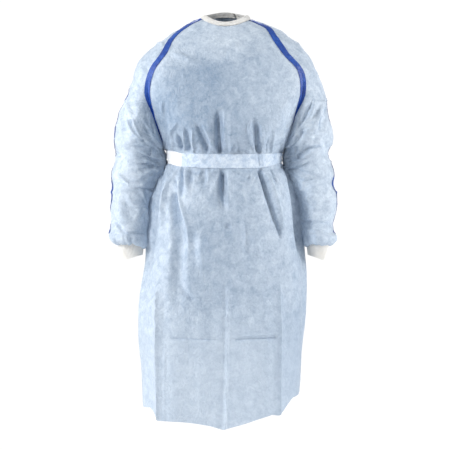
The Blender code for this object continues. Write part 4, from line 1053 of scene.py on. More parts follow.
# %% Painted light and shade
PAINTED_LIGHT_COLUMNS = ("sideways", "height", "half_width", "half_height", "paler")
PAINTED_LIGHT = table(PAINTED_LIGHT_COLUMNS, (
    (-0.020, -0.205, 0.170, 0.150, -0.80),      # chest
    (-0.095, -0.200, 0.080, 0.090, -1.40),
    (-0.045, -0.138, 0.060, 0.035, -0.80),
    (0.070, -0.100, 0.050, 0.028, -0.50),
    (-0.120, -0.118, 0.050, 0.018, 0.50),
    (0.030, -0.290, 0.120, 0.070, -0.50),
    (0.005, -0.068, 0.080, 0.045, 0.90),        # under the neck
    (-0.130, -0.110, 0.050, 0.080, 0.30),       # the shoulders' front
    (-0.030, -0.560, 0.150, 0.200, -1.00),      # lap
    (0.060, -0.700, 0.110, 0.120, -0.30),
    (-0.040, -0.900, 0.200, 0.150, 0.28),       # hem
    (-0.205, -0.850, 0.030, 0.240, -0.25),      # left side of the skirt
    (0.175, -0.850, 0.050, 0.240, -1.10),
    (-0.150, -0.200, 0.060, 0.080, -0.70),      # under the arms
    (-0.180, -0.300, 0.040, 0.070, -0.50),
    (-0.185, -0.430, 0.036, 0.100, -1.00),
    (0.180, -0.320, 0.030, 0.060, -0.40),
    (0.190, -0.450, 0.026, 0.080, -0.25),
    (-0.245, -0.300, 0.060, 0.220, 0.50),       # sleeves, outer half
    (0.245, -0.250, 0.060, 0.200, 0.40),
))


def painted_light_of(points):
    """The painted light and shade: the sum of the places' soft ellipses, for cloth that faces the front."""
    x, z = points[..., 0, None], points[..., 2, None]
    off = ((x - PAINTED_LIGHT["sideways"]) / PAINTED_LIGHT["half_width"]) ** 2 + ((z - PAINTED_LIGHT["height"]) / PAINTED_LIGHT["half_height"]) ** 2
    front_side = smoothstep(0.5 - points[..., 1] / 0.06)
    return np.maximum(np.sum(PAINTED_LIGHT["paler"] * np.exp(-0.9 * off), axis=-1), -1.9) * front_side


sample = unevenness(np.random.default_rng(9).uniform(-0.3, 0.3, (500, 3)))
print("unevenness from", (sample.min() * 1000).round(2), "to", (sample.max() * 1000).round(2), "mm")

# %% [markdown]
# ### The belt presses the cloth
#
# Where the belt lies, the folds are flat, and just above and below it the cloth stands in small
# gathers, closer together than the folds. The belt hangs a little lower in the middle of the front.

# %% Gathers and the belt's course
BELT_COURSE = table(("around", "middle", "half"), (
    (-0.45, -0.3535, 0.0160), (-0.30, -0.3510, 0.0160), (-0.20, -0.3450, 0.0160),
    (-0.155, -0.3480, 0.0170), (-0.115, -0.3555, 0.0168), (-0.05, -0.3605, 0.0172),
    (0.02, -0.3615, 0.0176), (0.09, -0.3590, 0.0172), (0.130, -0.3540, 0.0150),
    (0.155, -0.3500, 0.0125), (0.20, -0.3470, 0.0120), (0.30, -0.3510, 0.0150), (0.45, -0.3535, 0.0160),
))


def belt_course(around):
    """The belt's middle height and half width at a distance round."""
    middle = np.interp(around, BELT_COURSE["around"], BELT_COURSE["middle"])
    half = np.interp(around, BELT_COURSE["around"], BELT_COURSE["half"])
    return middle, half


def clear_of_belt(around, height):
    """0 under the belt, rising to 1 a little above and below it."""
    middle, half = belt_course(around)
    edge = np.abs(height - middle) - half
    model = np.maximum(height - RINGS["side"][BELT_TOP], RINGS["side"][BELT_BOTTOM] - height)
    return smoothstep(edge / 0.006), smoothstep(np.maximum(model, 0) / BELT_PRESS)


def gathers(around, height):
    """Small pleats from the belt's edges: noise along the belt, fading away from it."""
    middle, half = belt_course(around)
    off = np.abs(height - middle) - half
    place = np.stack([around, np.sign(height - middle) * 0.5, 0 * around], axis=-1)
    reach = 0.026 + 0.018 * soft_noise(place, 0.024, 6)
    fade = smoothstep(off / 0.004) * np.clip(1 - off / np.maximum(reach, 0.008), 0, 1) ** 1.5
    return fade * (0.0022 * soft_noise(place, 0.0085, 7) + 0.0012 * soft_noise(place, 0.005, 8))


def body_lift(cloth, rows_of_creases):
    """Everything that moves a body panel's cloth out from its ring."""
    around, height = cloth["around"], cloth["points"][..., 2]
    held = smoothstep(cloth["to_seam"] / SEAM_HOLD)
    fine_clear, model_clear = clear_of_belt(around, height)
    lift = body_folds(around, height) * held * model_clear
    lift += 2.1 * creases(around, height, rows_of_creases) * held * fine_clear
    lift += gathers(around, height) * held
    lift += wrapped(around, height, BODY_PINCHES) * held
    beside_arm = smoothstep((-0.350 - height) / 0.030) * (1 - smoothstep((-0.540 - height) / 0.080))
    lift += 0.006 * beside_arm * np.exp(-((np.abs(cloth["points"][..., 1]) / 0.045) ** 2))
    lift = lift * fine_clear + unevenness(cloth["points"]) * (0.25 + 0.75 * fine_clear)
    if "to_edge" in cloth:
        lies = np.exp(-cloth["to_edge"] / 0.014) * (1.0 + 0.25 * soft_noise(cloth["points"], 0.05, 9))
        lift -= 0.0017 * np.clip(lies, 0, 1.1) * (around > 0)
    return lift - cloth.get("under", 0)


def sleeve_lift(cloth, side):
    """The same for a sleeve, with the gathers where the cuff holds its end."""
    degrees, height, girth = cloth["degrees"], cloth["points"][..., 2], cloth["girth"]
    held = smoothstep(cloth["to_seam"] / SEAM_HOLD)
    lift = arm_folds(degrees, height, girth)
    lift += 2.4 * creases(degrees, height, SLEEVE_CREASES[side], girth / 360)
    lift += 1.5 * creases(degrees, height, SLEEVE_CREASES["behind"], girth / 360)
    flat = degrees / 360 * girth
    pinches = [(a / 360 * float(girth[len(girth) * 2 // 3, 0]), *rest) for a, *rest in ARM_PINCHES[side]]
    lift += wrapped(flat, height, pinches)
    shift = 0.0 if side == "left" else 40.0
    near_end = smoothstep((-0.528 - height) / 0.030)
    place = np.stack([np.cos(np.radians(degrees)), np.sin(np.radians(degrees)), 0 * degrees + shift], -1)
    lift += near_end * (0.0034 * soft_noise(place, 0.22, 11) + 0.0018 * soft_noise(place, 0.11, 12))
    near_armpit = 1 - 0.8 * np.exp(-((height + 0.325) / 0.03) ** 2) * (np.abs(degrees) > 120)
    drawn = cloth["points"] * np.array([1.0, 1.0, 1.6])
    own = 0.0034 * crumple(drawn, 0.060, 21) + 0.0020 * soft_noise(drawn, 0.036, 22)
    lift = (lift + own * held) * held * near_armpit + unevenness(cloth["points"], 1.0) * near_armpit
    # its inner side leans towards the body: the distance between the two, less what lies there
    arm_in = np.interp(-height, -ARM["height"], ARM[side + "_in"])
    reach = np.interp(-height, -RINGS["side"], RINGS[side])
    bulge = 0.006 * smoothstep((-0.350 - height) / 0.030) * (1 - smoothstep((-0.540 - height) / 0.080))
    lean = np.clip(arm_in - reach - bulge - 0.0040, 0, 0.008)
    inner = np.exp(-(((180 - np.abs(degrees)) / 38) ** 2))
    return lift + inner * lean * smoothstep((-0.326 - height) / 0.010)


print("belt in the middle of the front:", [float(v) for v in belt_course(0.0)])

# %% [markdown]
# ## From a grid of points to cloth
#
# A sheet of cloth is a thin closed wall: the grid, the same grid moved in along its normals, and
# rims that join the two. Where a sleeve closes into a tube the last column becomes the first. Each
# corner also gets its place on the cloth in metres, as a UV map for the patterns that follow it.

# %% Mesh makers
CLOTH = 0.0008       # how thick the sheet is made
measured = {}        # each sheet's greatest width and length along its own surface


def grid_normals(points, closed_from=None):
    """Down times across, both as differences between neighbours."""
    down = np.gradient(points, axis=0)
    across = np.gradient(points, axis=1)
    if closed_from is not None:
        across[closed_from:, 0] = (points[closed_from:, 1] - points[closed_from:, -2]) / 2
        across[closed_from:, -1] = across[closed_from:, 0]
        down[closed_from:, -1] = down[closed_from:, 0]
    return unit(np.cross(down, across))


def quads(a, b, c, d):
    return np.stack([a, b, c, d], axis=-1).reshape(-1, 4)


def put_in_scene(name, points, faces, same, finish, place=None, sharp=50):
    """A mesh object from faces of four corners. Corners that are the same point are made one."""
    corners = same[faces]
    twice = corners == np.roll(corners, 1, axis=1)
    four = corners[~twice.any(axis=1)]
    three_at = np.flatnonzero(twice.sum(axis=1) == 1)
    three = corners[three_at][~twice[three_at]].reshape(-1, 3)
    used, number = np.unique(np.concatenate([four.ravel(), three.ravel()]), return_inverse=True)
    mesh = bpy.data.meshes.new(name)
    mesh.vertices.add(len(used))
    mesh.vertices.foreach_set("co", points[used].astype(np.float32).ravel())
    mesh.loops.add(len(number))
    mesh.loops.foreach_set("vertex_index", number.astype(np.int32))
    starts = np.concatenate([np.arange(len(four)) * 4, len(four) * 4 + np.arange(len(three)) * 3])
    mesh.polygons.add(len(starts))
    mesh.polygons.foreach_set("loop_start", starts.astype(np.int32))
    if place is not None:
        uv = mesh.uv_layers.new(name="cloth")
        old = np.concatenate([faces[~twice.any(axis=1)].ravel(), faces[three_at][~twice[three_at]]])
        uv.data.foreach_set("uv", place[old].astype(np.float32).ravel())
    # the gown's cloth carries its painted light and shade as the tone attribute of its points
    if finish == cloth_finish:
        tone = mesh.attributes.new("tone", "FLOAT", "POINT")
        tone.data.foreach_set("value", painted_light_of(points[used]).astype(np.float32))
    mesh.update(calc_edges=True)
    mesh.validate()
    mesh.shade_smooth()
    mesh.set_sharp_from_angle(angle=math.radians(sharp))
    mesh.materials.append(finish)
    made = bpy.data.objects.new(name, mesh)
    bpy.context.scene.collection.objects.link(made)
    return made


def sheet_of(name, outer, thickness, finish, closed_from=None):
    """A thin wall whose outer face is the grid."""
    rows, columns = outer.shape[:2]
    normal = grid_normals(outer, closed_from)
    inner = outer - normal * thickness
    top = np.arange(rows * columns).reshape(rows, columns)
    under = top + rows * columns
    faces = [
        quads(top[:-1, :-1], top[1:, :-1], top[1:, 1:], top[:-1, 1:]),
        quads(under[:-1, :-1], under[:-1, 1:], under[1:, 1:], under[1:, :-1]),
        quads(top[0, :-1], top[0, 1:], under[0, 1:], under[0, :-1]),
        quads(top[-1, 1:], top[-1, :-1], under[-1, :-1], under[-1, 1:]),
    ]
    same = np.arange(2 * rows * columns)
    last_open = rows - 1 if closed_from is None else closed_from
    if closed_from is not None:
        same[top[closed_from:, -1]] = top[closed_from:, 0]
        same[under[closed_from:, -1]] = under[closed_from:, 0]
    if last_open > 0:
        a, b = slice(0, last_open), slice(1, last_open + 1)
        faces.append(quads(top[b, 0], top[a, 0], under[a, 0], under[b, 0]))
        faces.append(quads(top[b, -1], under[b, -1], under[a, -1], top[a, -1]))
    across = distances(outer)
    down = distances(outer.transpose(1, 0, 2)).T
    measured[name] = across.max(), down.max()
    place = np.stack([across - across[:, -1:] / 2, down], axis=-1).reshape(-1, 2)
    points = np.concatenate([outer.reshape(-1, 3), inner.reshape(-1, 3)])
    return put_in_scene(name, points, np.concatenate(faces), same, finish, np.concatenate([place, place]))


def moved_out(points, lift, closed_from=None):
    return points + grid_normals(points, closed_from) * lift[..., None]


def eased(points, free=True, rounds=16):
    """Where a fold turns by more than a right angle within two steps, the thin wall would cut
    itself, so those points move halfway to the mean of their four neighbours, over and over.
    Only points that are free do."""
    points = points.copy()
    free = np.broadcast_to(free, points.shape[:2])[1:-1, 1:-1]
    for _ in range(rounds):
        normal = grid_normals(points)
        down = np.sum(normal[:-2, 1:-1] * normal[2:, 1:-1], axis=-1)
        across = np.sum(normal[1:-1, :-2] * normal[1:-1, 2:], axis=-1)
        sharp = (np.minimum(down, across) < 0.0) & free
        mean = (points[:-2, 1:-1] + points[2:, 1:-1] + points[1:-1, :-2] + points[1:-1, 2:]) / 4
        inside = points[1:-1, 1:-1]
        points[1:-1, 1:-1] = np.where(sharp[..., None], (inside + mean) / 2, inside)
    return points


def size_of(made):
    return f"{made.name}: {len(made.data.vertices)} points, {sum(len(p.vertices) - 2 for p in made.data.polygons)} triangles"


# %% [markdown]
# ## The front and the two backs
#
# The front is one sheet from the neck to the hem. Its two long edges are sewn to the sleeves down to
# the underarm and to the backs below. The backs overlap behind, right over left. The flat sizes that
# each is listed with at the end are what a maker would cut.

# %% Body panels
FRONT_ROWS, FRONT_COLUMNS = 232, 208
BACK_ROWS, BACK_COLUMNS = 170, 90
rows = even_rows(0, HEM, FRONT_ROWS, RINGS["front"], RINGS["ahead"])
cloth = front_cloth(rows, whole(np.linspace(0, 1, FRONT_COLUMNS)[None, :]))
front_points = eased(moved_out(cloth["points"], body_lift(cloth, FRONT_CREASES)))
front = sheet_of("front_cloth", front_points, CLOTH, cloth_finish)
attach(front, "root")
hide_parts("front")
print(size_of(front))

backs = {}
for side in ("left", "right"):
    rows = even_rows(0, HEM, BACK_ROWS, RINGS["back"], RINGS["behind"])
    cloth = back_cloth(rows, whole(np.linspace(0, 1, BACK_COLUMNS)[None, :]), side)
    lift = body_lift(cloth, BACK_CREASES)
    if side == "left":
        cloth = {name: value[:, ::-1] for name, value in cloth.items()}
        lift = lift[:, ::-1]
    points = eased(moved_out(cloth["points"], lift))
    backs[side] = sheet_of(f"back_{side}_cloth", points, CLOTH, cloth_finish)
    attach(backs[side], "root")
    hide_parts(f"back_{side}")
    print(size_of(backs[side]))

# %% [markdown]
# ## The sleeves
#
# A raglan sleeve runs from the neck over the shoulder to the wrist, in one piece, and closes into a
# tube at the underarm. Its end is gathered into the cuff, so it puffs out just above it.

# %% Sleeves
SLEEVE_ROWS, SLEEVE_COLUMNS = 236, 162
sleeves = {}
for side in ("left", "right"):
    rows = sleeve_rows(SLEEVE_ROWS)
    split = int(np.sum(rows <= UNDERARM)) - 1
    cloth = sleeve_cloth(rows, whole(np.linspace(0, 1, SLEEVE_COLUMNS)[None, :], 0.0), side)
    lift = sleeve_lift(cloth, side)
    points = cloth["points"]
    # under its tapes the cloth keeps the form that they follow
    free = (np.abs(cloth["degrees"] + 5.0) > 40.0) & (cloth["to_seam"] > 0.014)
    if side == "left":
        points, lift, free = points[:, ::-1], lift[:, ::-1], free[:, ::-1]
    out = eased(moved_out(points, lift, split), free)
    out[split:, -1] = out[split:, 0]
    sleeves[side] = sheet_of(f"sleeve_{side}_cloth", out, CLOTH, cloth_finish, split)
    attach(sleeves[side], "root")
    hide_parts(f"sleeve_{side}")
    print(size_of(sleeves[side]))

# %% [markdown]
# ## The seam tapes
#
# A tape lies over each seam, half on either panel. We read both panels again on a few columns next to
# the seam, with all their folds, and move the strip out by less than a millimetre. Ironed film has
# its own small crinkles across it.

# %% Raglan tapes
TAPE_WIDTH, TAPE_LIFT, TAPE_THICK = 0.018, 0.0010, 0.0006
TAPE_END = 7.72
half_tape = np.linspace(0, TAPE_WIDTH / 2, 7)


def crinkles(points):
    """Short crinkles, the size of a grain of rice."""
    return 0.0006 * crumple(points, 0.013, 31) + 0.0004 * soft_noise(points, 0.008, 32)


def near(distance):
    """Columns beside a panel's first edge. The last rows' strip narrows, since the fold into the
    armpit closes over it there."""
    return lambda length: distance[None, :] * tape_narrowing + 0 * length


def far(distance):
    return lambda length: length - distance[None, :] * tape_narrowing


def half_strip(panel, rows, columns):
    """One panel's cloth beside a seam, with its folds."""
    kind, _, side = panel.partition("_")
    if kind == "front":
        cloth = front_cloth(rows, columns)
        lift = body_lift(cloth, FRONT_CREASES)
    elif kind == "back":
        cloth = back_cloth(rows, columns, side)
        lift = body_lift(cloth, BACK_CREASES)
    else:
        cloth = sleeve_cloth(rows, columns, side)
        lift = sleeve_lift(cloth, side)
    return cloth["points"], lift


def raglan_tape(name, first, first_columns, second, second_columns, rows):
    one, lift_one = half_strip(first, rows, first_columns)
    two, lift_two = half_strip(second, rows, second_columns)
    points = np.concatenate([one, two[:, 1:]], axis=1)
    lift = np.concatenate([lift_one, lift_two[:, 1:]], axis=1)
    made = moved_out(points, lift + TAPE_LIFT + crinkles(points))
    return sheet_of(f"{name}_strip", made, TAPE_THICK, tape_finish)


SEAMS = (
    ("tape_front_left", "sleeve_left", near(half_tape[::-1]), "front", near(half_tape)),
    ("tape_front_right", "front", far(half_tape[::-1]), "sleeve_right", near(half_tape)),
    ("tape_back_right", "sleeve_right", far(half_tape[::-1]), "back_right", near(half_tape)),
    ("tape_back_left", "back_left", near(half_tape[::-1]), "sleeve_left", far(half_tape)),
)
tape_rows = even_rows(0, TAPE_END, 230, RINGS["side"], RINGS["left"])
tape_narrowing = (1 - 0.55 * smoothstep((tape_rows - 5.3) / 1.6))[:, None]
tapes = {}
for name, *parts in SEAMS:
    tapes[name] = raglan_tape(name, *parts, tape_rows)
    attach(tapes[name], "root")
    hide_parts(name)
    print(size_of(tapes[name]))

# %% [markdown]
# The sleeve's own closing seam runs down its outer side, a little behind it, so that only a thin blue
# line shows at the sleeve's outline. It wanders with the cloth, and stops where the cuff's gathers
# begin.

# %% Sleeve tapes
SLEEVE_TAPE_WIDTH = 0.016
SLEEVE_SEAM_ANGLE = 9
COMES_FORWARD = {
    # the heights between which it shows in front, and how much of it
    "left": ((-0.245, -0.315, 1.4), (-0.400, -0.480, 1.0)),
    "right": ((-0.385, -0.455, 1.2), (-0.540, -0.600, 1.1)),
}
for side in ("left", "right"):
    rows = sleeve_rows(260)
    rows = rows[rows < UNDERARM + 8.0]
    across = np.linspace(-0.5, 0.5, 11)[None, :] * SLEEVE_TAPE_WIDTH

    heights = np.concatenate([RINGS["side"][:UNDERARM + 1], ARM["height"][1:]])
    height = along(heights, rows)[:, None]
    forward = sum(
        much * smoothstep((top + 0.040 - height) / 0.080) * smoothstep((height - low + 0.040) / 0.080)
        for top, low, much in COMES_FORWARD[side]
    )

    def beside(length):
        return length * (0.5 + (SLEEVE_SEAM_ANGLE - 25 * forward) / 360) + across

    points, lift = half_strip(f"sleeve_{side}", rows, beside)
    if side == "left":
        points, lift = points[:, ::-1], lift[:, ::-1]
    made = moved_out(points, lift + TAPE_LIFT + crinkles(points))
    tapes[side] = sheet_of(f"tape_sleeve_{side}_strip", made, TAPE_THICK, tape_finish)
    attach(tapes[side], "root")
    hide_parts(f"tape_sleeve_{side}")
    print(size_of(tapes[side]))

# %% [markdown]
# ## The belt, its knot and its ends
#
# The belt is a folded strip of the same cloth. It goes right round, and its two ends are knotted
# behind. It crumples lengthwise, and one sharp pinch shows in front. We lay it on the body's own
# rings, since the cloth under it is pressed flat.

# %% Belt
BELT_LIFT, BELT_THICK = 0.0016, 0.0009
BELT_COLUMNS, BELT_ROWS = 520, 15


def belt_points():
    """The strip round the body: at each angle the ring is read at the belt's own height there."""
    turn = np.linspace(-math.pi, math.pi, 2001)[None, :]
    waist = oval(ring_at(np.array([9.5])), turn)
    far_round = distances(waist)
    even = np.linspace(0, far_round[0, -1], BELT_COLUMNS)[None, :]
    angle = read_lines(turn[..., None], far_round, even)[..., 0]
    around = even - far_round[0, -1] / 2
    middle, half = belt_course(around)
    across = np.linspace(1, -1, BELT_ROWS)[:, None]
    height = middle + half * across
    row = np.interp(-height, -RINGS["side"], np.arange(len(RINGS["side"])))
    return oval(ring_at(row), angle + 0 * row), around + 0 * row, across + 0 * row


points, around, across = belt_points()
drawn = np.stack([around * 0.35, across * 0.012, 0 * around], axis=-1)
ends = np.cos(np.clip(around / 0.40, -1, 1) * math.pi / 2) ** 0.25
wrinkles = 0.0016 * crumple(drawn, 0.010, 41) + 0.0010 * soft_noise(drawn, 0.008, 42)
pinch = creases(around, points[..., 2], (
    (((0.084, -0.340), (0.090, -0.374)), 0.004, 0.006, -0.0030, 0.2, 0.1, 0.1),
    (((0.096, -0.341), (0.100, -0.373)), 0.004, 0.008, 0.0026, 0.2, 0.1, 0.1),
    (((-0.010, -0.344), (-0.008, -0.378)), 0.003, 0.003, 0.0008, 0.0, 0.1, 0.1),
))
edges = 0.0007 * (1 - across**4)
step = -UNDER_DROP * smoothstep((around - 0.385) / 0.02) * 0.0
out = moved_out(points, BELT_LIFT + wrinkles * ends + pinch + edges + step, 0)
out[:, -1] = out[:, 0]
belt = sheet_of("belt_strip", out, BELT_THICK, belt_finish, 0)
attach(belt, "root")
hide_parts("belt")
print(size_of(belt))

# %% Knot and ends
KNOT_LOW, KNOT_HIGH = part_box("belt_knot")
KNOT_MIDDLE = np.array((KNOT_LOW + KNOT_HIGH) / 2)
KNOT_HALF = np.array((KNOT_HIGH - KNOT_LOW) / 2)


def soft_block(name, middle, half, finish, grooves):
    """A rounded block: sine and cosine of the two angles to a power under one, with grooves that run
    slantwise over it as in pulled cloth."""
    v = np.linspace(-math.pi / 2, math.pi / 2, 41)[:, None]
    u = np.linspace(-math.pi, math.pi, 73)[None, :]

    def softened(value, power):
        return np.sign(value) * np.abs(value) ** power

    ball = np.stack([
        softened(np.cos(v), 0.75) * softened(np.cos(u), 0.7),
        softened(np.cos(v), 0.75) * softened(np.sin(u), 0.7),
        softened(-np.sin(v), 0.75) + 0 * u,
    ], axis=-1)
    slant = ball[..., 2] + 0.6 * ball[..., 0]
    pulled = 1 - grooves * (0.5 + 0.5 * np.cos(slant * 9.0)) ** 2 - 0.06 * crumple(ball, 0.5, 51)
    grid = middle + ball * half * pulled[..., None] * (1 - 0.12 * np.cos(v[..., None]) ** 2)
    number = np.arange(grid[..., 0].size).reshape(grid.shape[:2])
    same = number.ravel().copy()
    same[number[:, -1]] = number[:, 0]
    same[number[0]] = number[0, 0]
    same[number[-1]] = number[-1, 0]
    faces = quads(number[:-1, :-1], number[1:, :-1], number[1:, 1:], number[:-1, 1:])
    return put_in_scene(name, grid.reshape(-1, 3), faces, same, finish)


knot = soft_block("belt_knot_soft", KNOT_MIDDLE, KNOT_HALF, belt_finish, 0.14)
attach(knot, "root")
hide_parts("belt_knot")
print(size_of(knot))

# the band that is pulled over the knot, a closed strip round its middle
turn = np.linspace(-math.pi, math.pi, 97)[None, :]
wide = np.linspace(-1, 1, 13)[:, None]
band = np.stack([
    KNOT_MIDDLE[0] + 0.0075 * wide * (1 - 0.25 * np.cos(turn) ** 2) + 0.002 * np.sin(turn),
    KNOT_MIDDLE[1] + (KNOT_HALF[1] * 0.92 + 0.0016 * (1 - wide**2)) * np.cos(turn),
    KNOT_MIDDLE[2] + (KNOT_HALF[2] * 0.90 + 0.0010 * (1 - wide**2)) * np.sin(turn),
], axis=-1)
band += grid_normals(band, 0) * (0.0007 * np.cos(wide * 9.0 + turn))[..., None]
band[:, -1] = band[:, 0]
knot_band = sheet_of("belt_knot_band", band, 0.0012, belt_finish, 0)
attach(knot_band, "root")
print(size_of(knot_band))


def belt_end(name, node, bend):
    """A free end of the belt: a strip down the node's own length, narrow where the knot grips it,
    with one long fold and a slow wave."""
    low, high = (np.array(corner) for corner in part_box(node))
    t = np.linspace(0, 1, 90)[:, None]
    s = np.linspace(-1, 1, 17)[None, :]
    start_x = 0.019 * np.sign(low[0] + high[0])
    end_x = (low[0] + high[0]) / 2 * 1.55
    half = 0.0150 * (0.62 + 0.38 * np.minimum(1, 3 * t))
    x = start_x + (end_x - start_x) * t - s * half
    top = KNOT_MIDDLE[2] - 0.3 * KNOT_HALF[2]
    z = top - (top - low[2] - 0.004) * t - 0.002 * s * t
    row = np.interp(-z, -RINGS["side"], np.arange(len(RINGS["side"])))
    ring = ring_at(row)
    reach = np.where(x < 0, ring["left"], ring["right"])
    skirt = ring["behind"] * (1 - (np.abs(x) / reach) ** ring["square"]) ** (1 / ring["square"])
    hang = skirt + 0.0060 + 0.0050 * np.exp(-((t / 0.10) ** 2))
    y = hang + 0.0016 * np.cos(s * 4.2 + bend) * (1 - 0.4 * t) + 0.0012 * np.sin(t * 9 + s)
    points = np.stack([x + 0 * y, y, z + 0 * y], axis=-1)
    return sheet_of(name, points, 0.0008, belt_finish)


ends_of_belt = {}
for side, bend in (("left", 0.3), ("right", 1.9)):
    node = f"belt_tail_{side}"
    ends_of_belt[side] = belt_end(f"belt_end_{side}", node, bend)
    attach(ends_of_belt[side], "root")
    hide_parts(node)
    print(size_of(ends_of_belt[side]))

# %% [markdown]
# ## The neck binding
#
# A strip of cream knit is folded over the cloth's raw edge at the neck and sewn down, and its ends
# overlap behind. Its section is a narrow U upside down, carried round the neck's ring. The rows of
# the grid go up the inside, over the top and down the outside.

# %% Binding
BINDING_RISE, BINDING_LEAN = 0.012, 0.010
NECK_COLUMNS = 420
neck_turn = np.linspace(-math.pi - 0.44, math.pi + 0.44, NECK_COLUMNS)[None, :]
neck_ring = ring_at(np.array([0.0]))
foot = oval(neck_ring, neck_turn)[0]
inward = unit(-foot * np.array([1.0, 1.0, 0.0]))
up = np.array([0.0, 0.0, 1.0])
drop = UNDER_DROP * 1.4 * smoothstep((-neck_turn[0] - 2.5) / 0.5)
foot = foot + inward * drop[:, None]

# the section: rise and lean in shares, then the distance off the middle line
SECTION = np.array([
    (0.02, -1.0), (0.25, -1.0), (0.50, -1.0), (0.72, -0.98), (0.86, -0.86), (0.96, -0.52), (1.0, 0.0),
    (0.96, 0.55), (0.86, 0.92), (0.72, 1.10), (0.52, 1.15), (0.36, 1.05), (0.24, 0.72), (0.17, 0.60),
    (0.10, 0.85), (0.04, 0.95), (0.0, 0.85),
])
curve = SECTION[:, 0][:, None]
off = SECTION[:, 1][:, None]
lean = curve ** 1.25
path = foot[None] + up * (BINDING_RISE * curve)[..., None] + inward[None] * (BINDING_LEAN * lean)[..., None]
face = unit(up * BINDING_LEAN - inward * BINDING_RISE)[None]
pucker = 0.10 * np.sin(neck_turn * 52 + 2 * np.sin(neck_turn * 3)) + 0.06 * np.sin(neck_turn * 31)
section_out = 0.0013 * off * (1 + pucker * (off > 0.5))
binding_points = path + face * section_out[..., None]
binding = sheet_of("neck_binding_knit", binding_points, 0.0006, neck_finish)
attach(binding, "root")
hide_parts("neck_binding")
print(size_of(binding))

# %% [markdown]
# The stitches that hold it lie in the groove near its lower edge. One stitch is a short spindle of a
# few faces, repeated along the line by arithmetic on whole arrays.


# %% Stitches
def stitches(name, line, facing, length, gap, thick, finish):
    """Spindles along a line: each ring of a spindle is its thickness times the square root of a
    sine, laid between the line's direction, its facing and their cross product."""
    far_along = distances(line[None])[0]
    count = int(far_along[-1] / (length + gap))
    middle = (np.arange(count) + 0.5) * (length + gap)
    centre = np.stack([np.interp(middle, far_along, line[:, k]) for k in range(3)], axis=-1)
    ahead = np.stack([np.interp(middle + 0.001, far_along, line[:, k]) for k in range(3)], axis=-1)
    lift = unit(np.stack([np.interp(middle, far_along, facing[:, k]) for k in range(3)], axis=-1))
    ahead = unit(ahead - centre)
    side = unit(np.cross(ahead, lift))
    t = np.linspace(0, 1, 7)
    turn = np.linspace(0, 2 * math.pi, 7)
    thickness = thick * np.sqrt(np.maximum(np.sin(t * math.pi), 0))
    shape = np.stack([
        ((t - 0.5) * length)[:, None] + 0 * turn, thickness[:, None] * np.cos(turn),
        thickness[:, None] * np.sin(turn),
    ], axis=-1).reshape(-1, 3)
    points = (
        centre[:, None] + shape[None, :, :1] * ahead[:, None] + shape[None, :, 1:2] * lift[:, None]
        + shape[None, :, 2:] * side[:, None]
    )
    number = np.arange(49).reshape(7, 7)
    same = number.copy()
    same[:, -1] = number[:, 0]
    same[0], same[-1] = number[0, 0], number[-1, 0]
    one = quads(number[:-1, :-1], number[:-1, 1:], number[1:, 1:], number[1:, :-1])
    shift = 49 * np.arange(count)[:, None]
    faces = (one[None] + shift[..., None]).reshape(-1, 4)
    joined = (same.ravel()[None] + shift).ravel()
    return put_in_scene(name, points.reshape(-1, 3), faces, joined, finish)


seam_row = 13
seam_line = binding_points[seam_row]
stitch_row = stitches("neck_stitches", seam_line, np.repeat(face[0], 1, 0), 0.0024, 0.0009, 0.00028, thread_finish)
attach(stitch_row, "root")
print(size_of(stitch_row))

# %% [markdown]
# ## The cuffs
#
# A rib knit grips the wrist: its stitches stand in columns, every other one raised. So the ribs are
# in the shape itself, a wave round the cuff that flattens where the sleeve's end covers it, and the
# single stitches are left to the finish. The end is a little rolled.

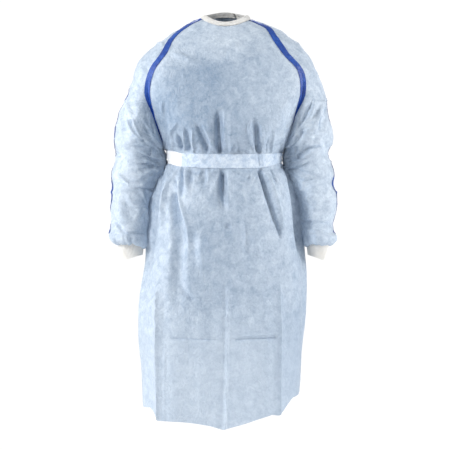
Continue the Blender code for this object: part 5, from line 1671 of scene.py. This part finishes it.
# %% Cuffs
CUFF_COLUMNS = (
    "outer_height", "inner_height", "left_in", "left_out", "right_in", "right_out",
    "middle", "half_depth",
)
CUFF = table(CUFF_COLUMNS, (
    (-0.5580, -0.5580, 0.2096, 0.2704, 0.2086, 0.2644, -0.022, 0.0354),
    (-0.5680, -0.5680, 0.2096, 0.2704, 0.2086, 0.2644, -0.022, 0.0354),
    (-0.5760, -0.5740, 0.2075, 0.2690, 0.2080, 0.2600, -0.023, 0.0330),
    (-0.5920, -0.5850, 0.2080, 0.2640, 0.2090, 0.2550, -0.024, 0.0300),
    (-0.6080, -0.5930, 0.2095, 0.2590, 0.2100, 0.2500, -0.025, 0.0285),
))
RIBS = 52
cuffs = {}
for side in ("left", "right"):
    rows = np.linspace(0, 4, 34)
    at = {name: along(CUFF[name], rows)[:, None] for name in CUFF_COLUMNS}
    level = (at["outer_height"] + at["inner_height"]) / 2
    tilt = (at["outer_height"] - at["inner_height"]) / 2
    sign = 1 if side == "right" else -1
    line = loop(sign, at[side + "_in"], at[side + "_out"], at["middle"], at["half_depth"], level, tilt)
    known = distances(line)
    share = np.linspace(0, 1, RIBS * 6 + 1)[None, :]
    points = read_lines(line, known, known[:, -1:] * share)
    if side == "left":
        points = points[:, ::-1]
    points[:, -1] = points[:, 0]
    rib = 0.00055 * np.cos(2 * math.pi * RIBS * share) * smoothstep((rows[:, None] - 0.9) / 0.5)
    rolled = 0.0007 * smoothstep((rows[:, None] - 3.75) / 0.2)
    slack = 0.0009 * soft_noise(points, 0.016, 61) * smoothstep((rows[:, None] - 1.2) / 1.0)
    out = moved_out(points, rib + rolled + slack, 0)
    out[:, -1] = out[:, 0]
    cuffs[side] = sheet_of(f"cuff_{side}_knit", out, 0.0013, cuff_finish, 0)
    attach(cuffs[side], "root")
    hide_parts(f"cuff_{side}")
    print(size_of(cuffs[side]))

# %% [markdown]
# ## What each sheet was cut from
#
# Every sheet is listed with its flat size: width, length and, where the cut isn't a rectangle, its
# area, and the sizes measured on it are printed. We measure the area first, as half of the closed surface.


def area_of(made):
    """Half of the surface, since a sheet has two faces."""
    return sum(p.area for p in made.data.polygons) / 2


CUT_COLUMNS = ("piece", "width", "length", "area", "held", "rests_on")
CUTS = (
    (front, 0.645, 1.100, 0.520, "draped", ()),
    (backs["left"], 0.380, 1.105, 0.295, "draped", ()),
    (backs["right"], 0.370, 1.080, 0.288, "draped", (backs["left"],)),
    (sleeves["left"], 0.460, 0.770, 0.190, "draped", ()),
    (sleeves["right"], 0.460, 0.770, 0.190, "draped", ()),
    (tapes["tape_front_left"], 0.018, 0.420, 0.0070, "laid", (sleeves["left"], front)),
    (tapes["tape_front_right"], 0.018, 0.420, 0.0070, "laid", (sleeves["right"], front)),
    (tapes["tape_back_left"], 0.018, 0.425, 0.0070, "laid", (sleeves["left"], backs["left"])),
    (tapes["tape_back_right"], 0.018, 0.425, 0.0070, "laid", (sleeves["right"], backs["right"])),
    (tapes["left"], 0.016, 0.700, None, "laid", (sleeves["left"],)),
    (tapes["right"], 0.016, 0.700, None, "laid", (sleeves["right"],)),
    (belt, 0.850, 0.035, None, "stretched", (front, backs["left"], backs["right"])),
    (ends_of_belt["left"], 0.030, 0.245, None, "hung", (knot,)),
    (ends_of_belt["right"], 0.030, 0.235, None, "hung", (knot,)),
    (knot_band, 0.092, 0.017, None, "folded", (knot,)),
    (binding, 0.450, 0.030, None, "folded", (front, backs["left"], backs["right"])),
    (cuffs["left"], 0.235, 0.052, None, "stretched", (sleeves["left"],)),
    (cuffs["right"], 0.228, 0.052, None, "stretched", (sleeves["right"],)),
)
for piece, width, length, area, held, below in CUTS:
    found = [round(float(v), 3) for v in measured[piece.name]]
    print(piece.name, "measures", found, "and", round(area_of(piece), 4), "square metres")
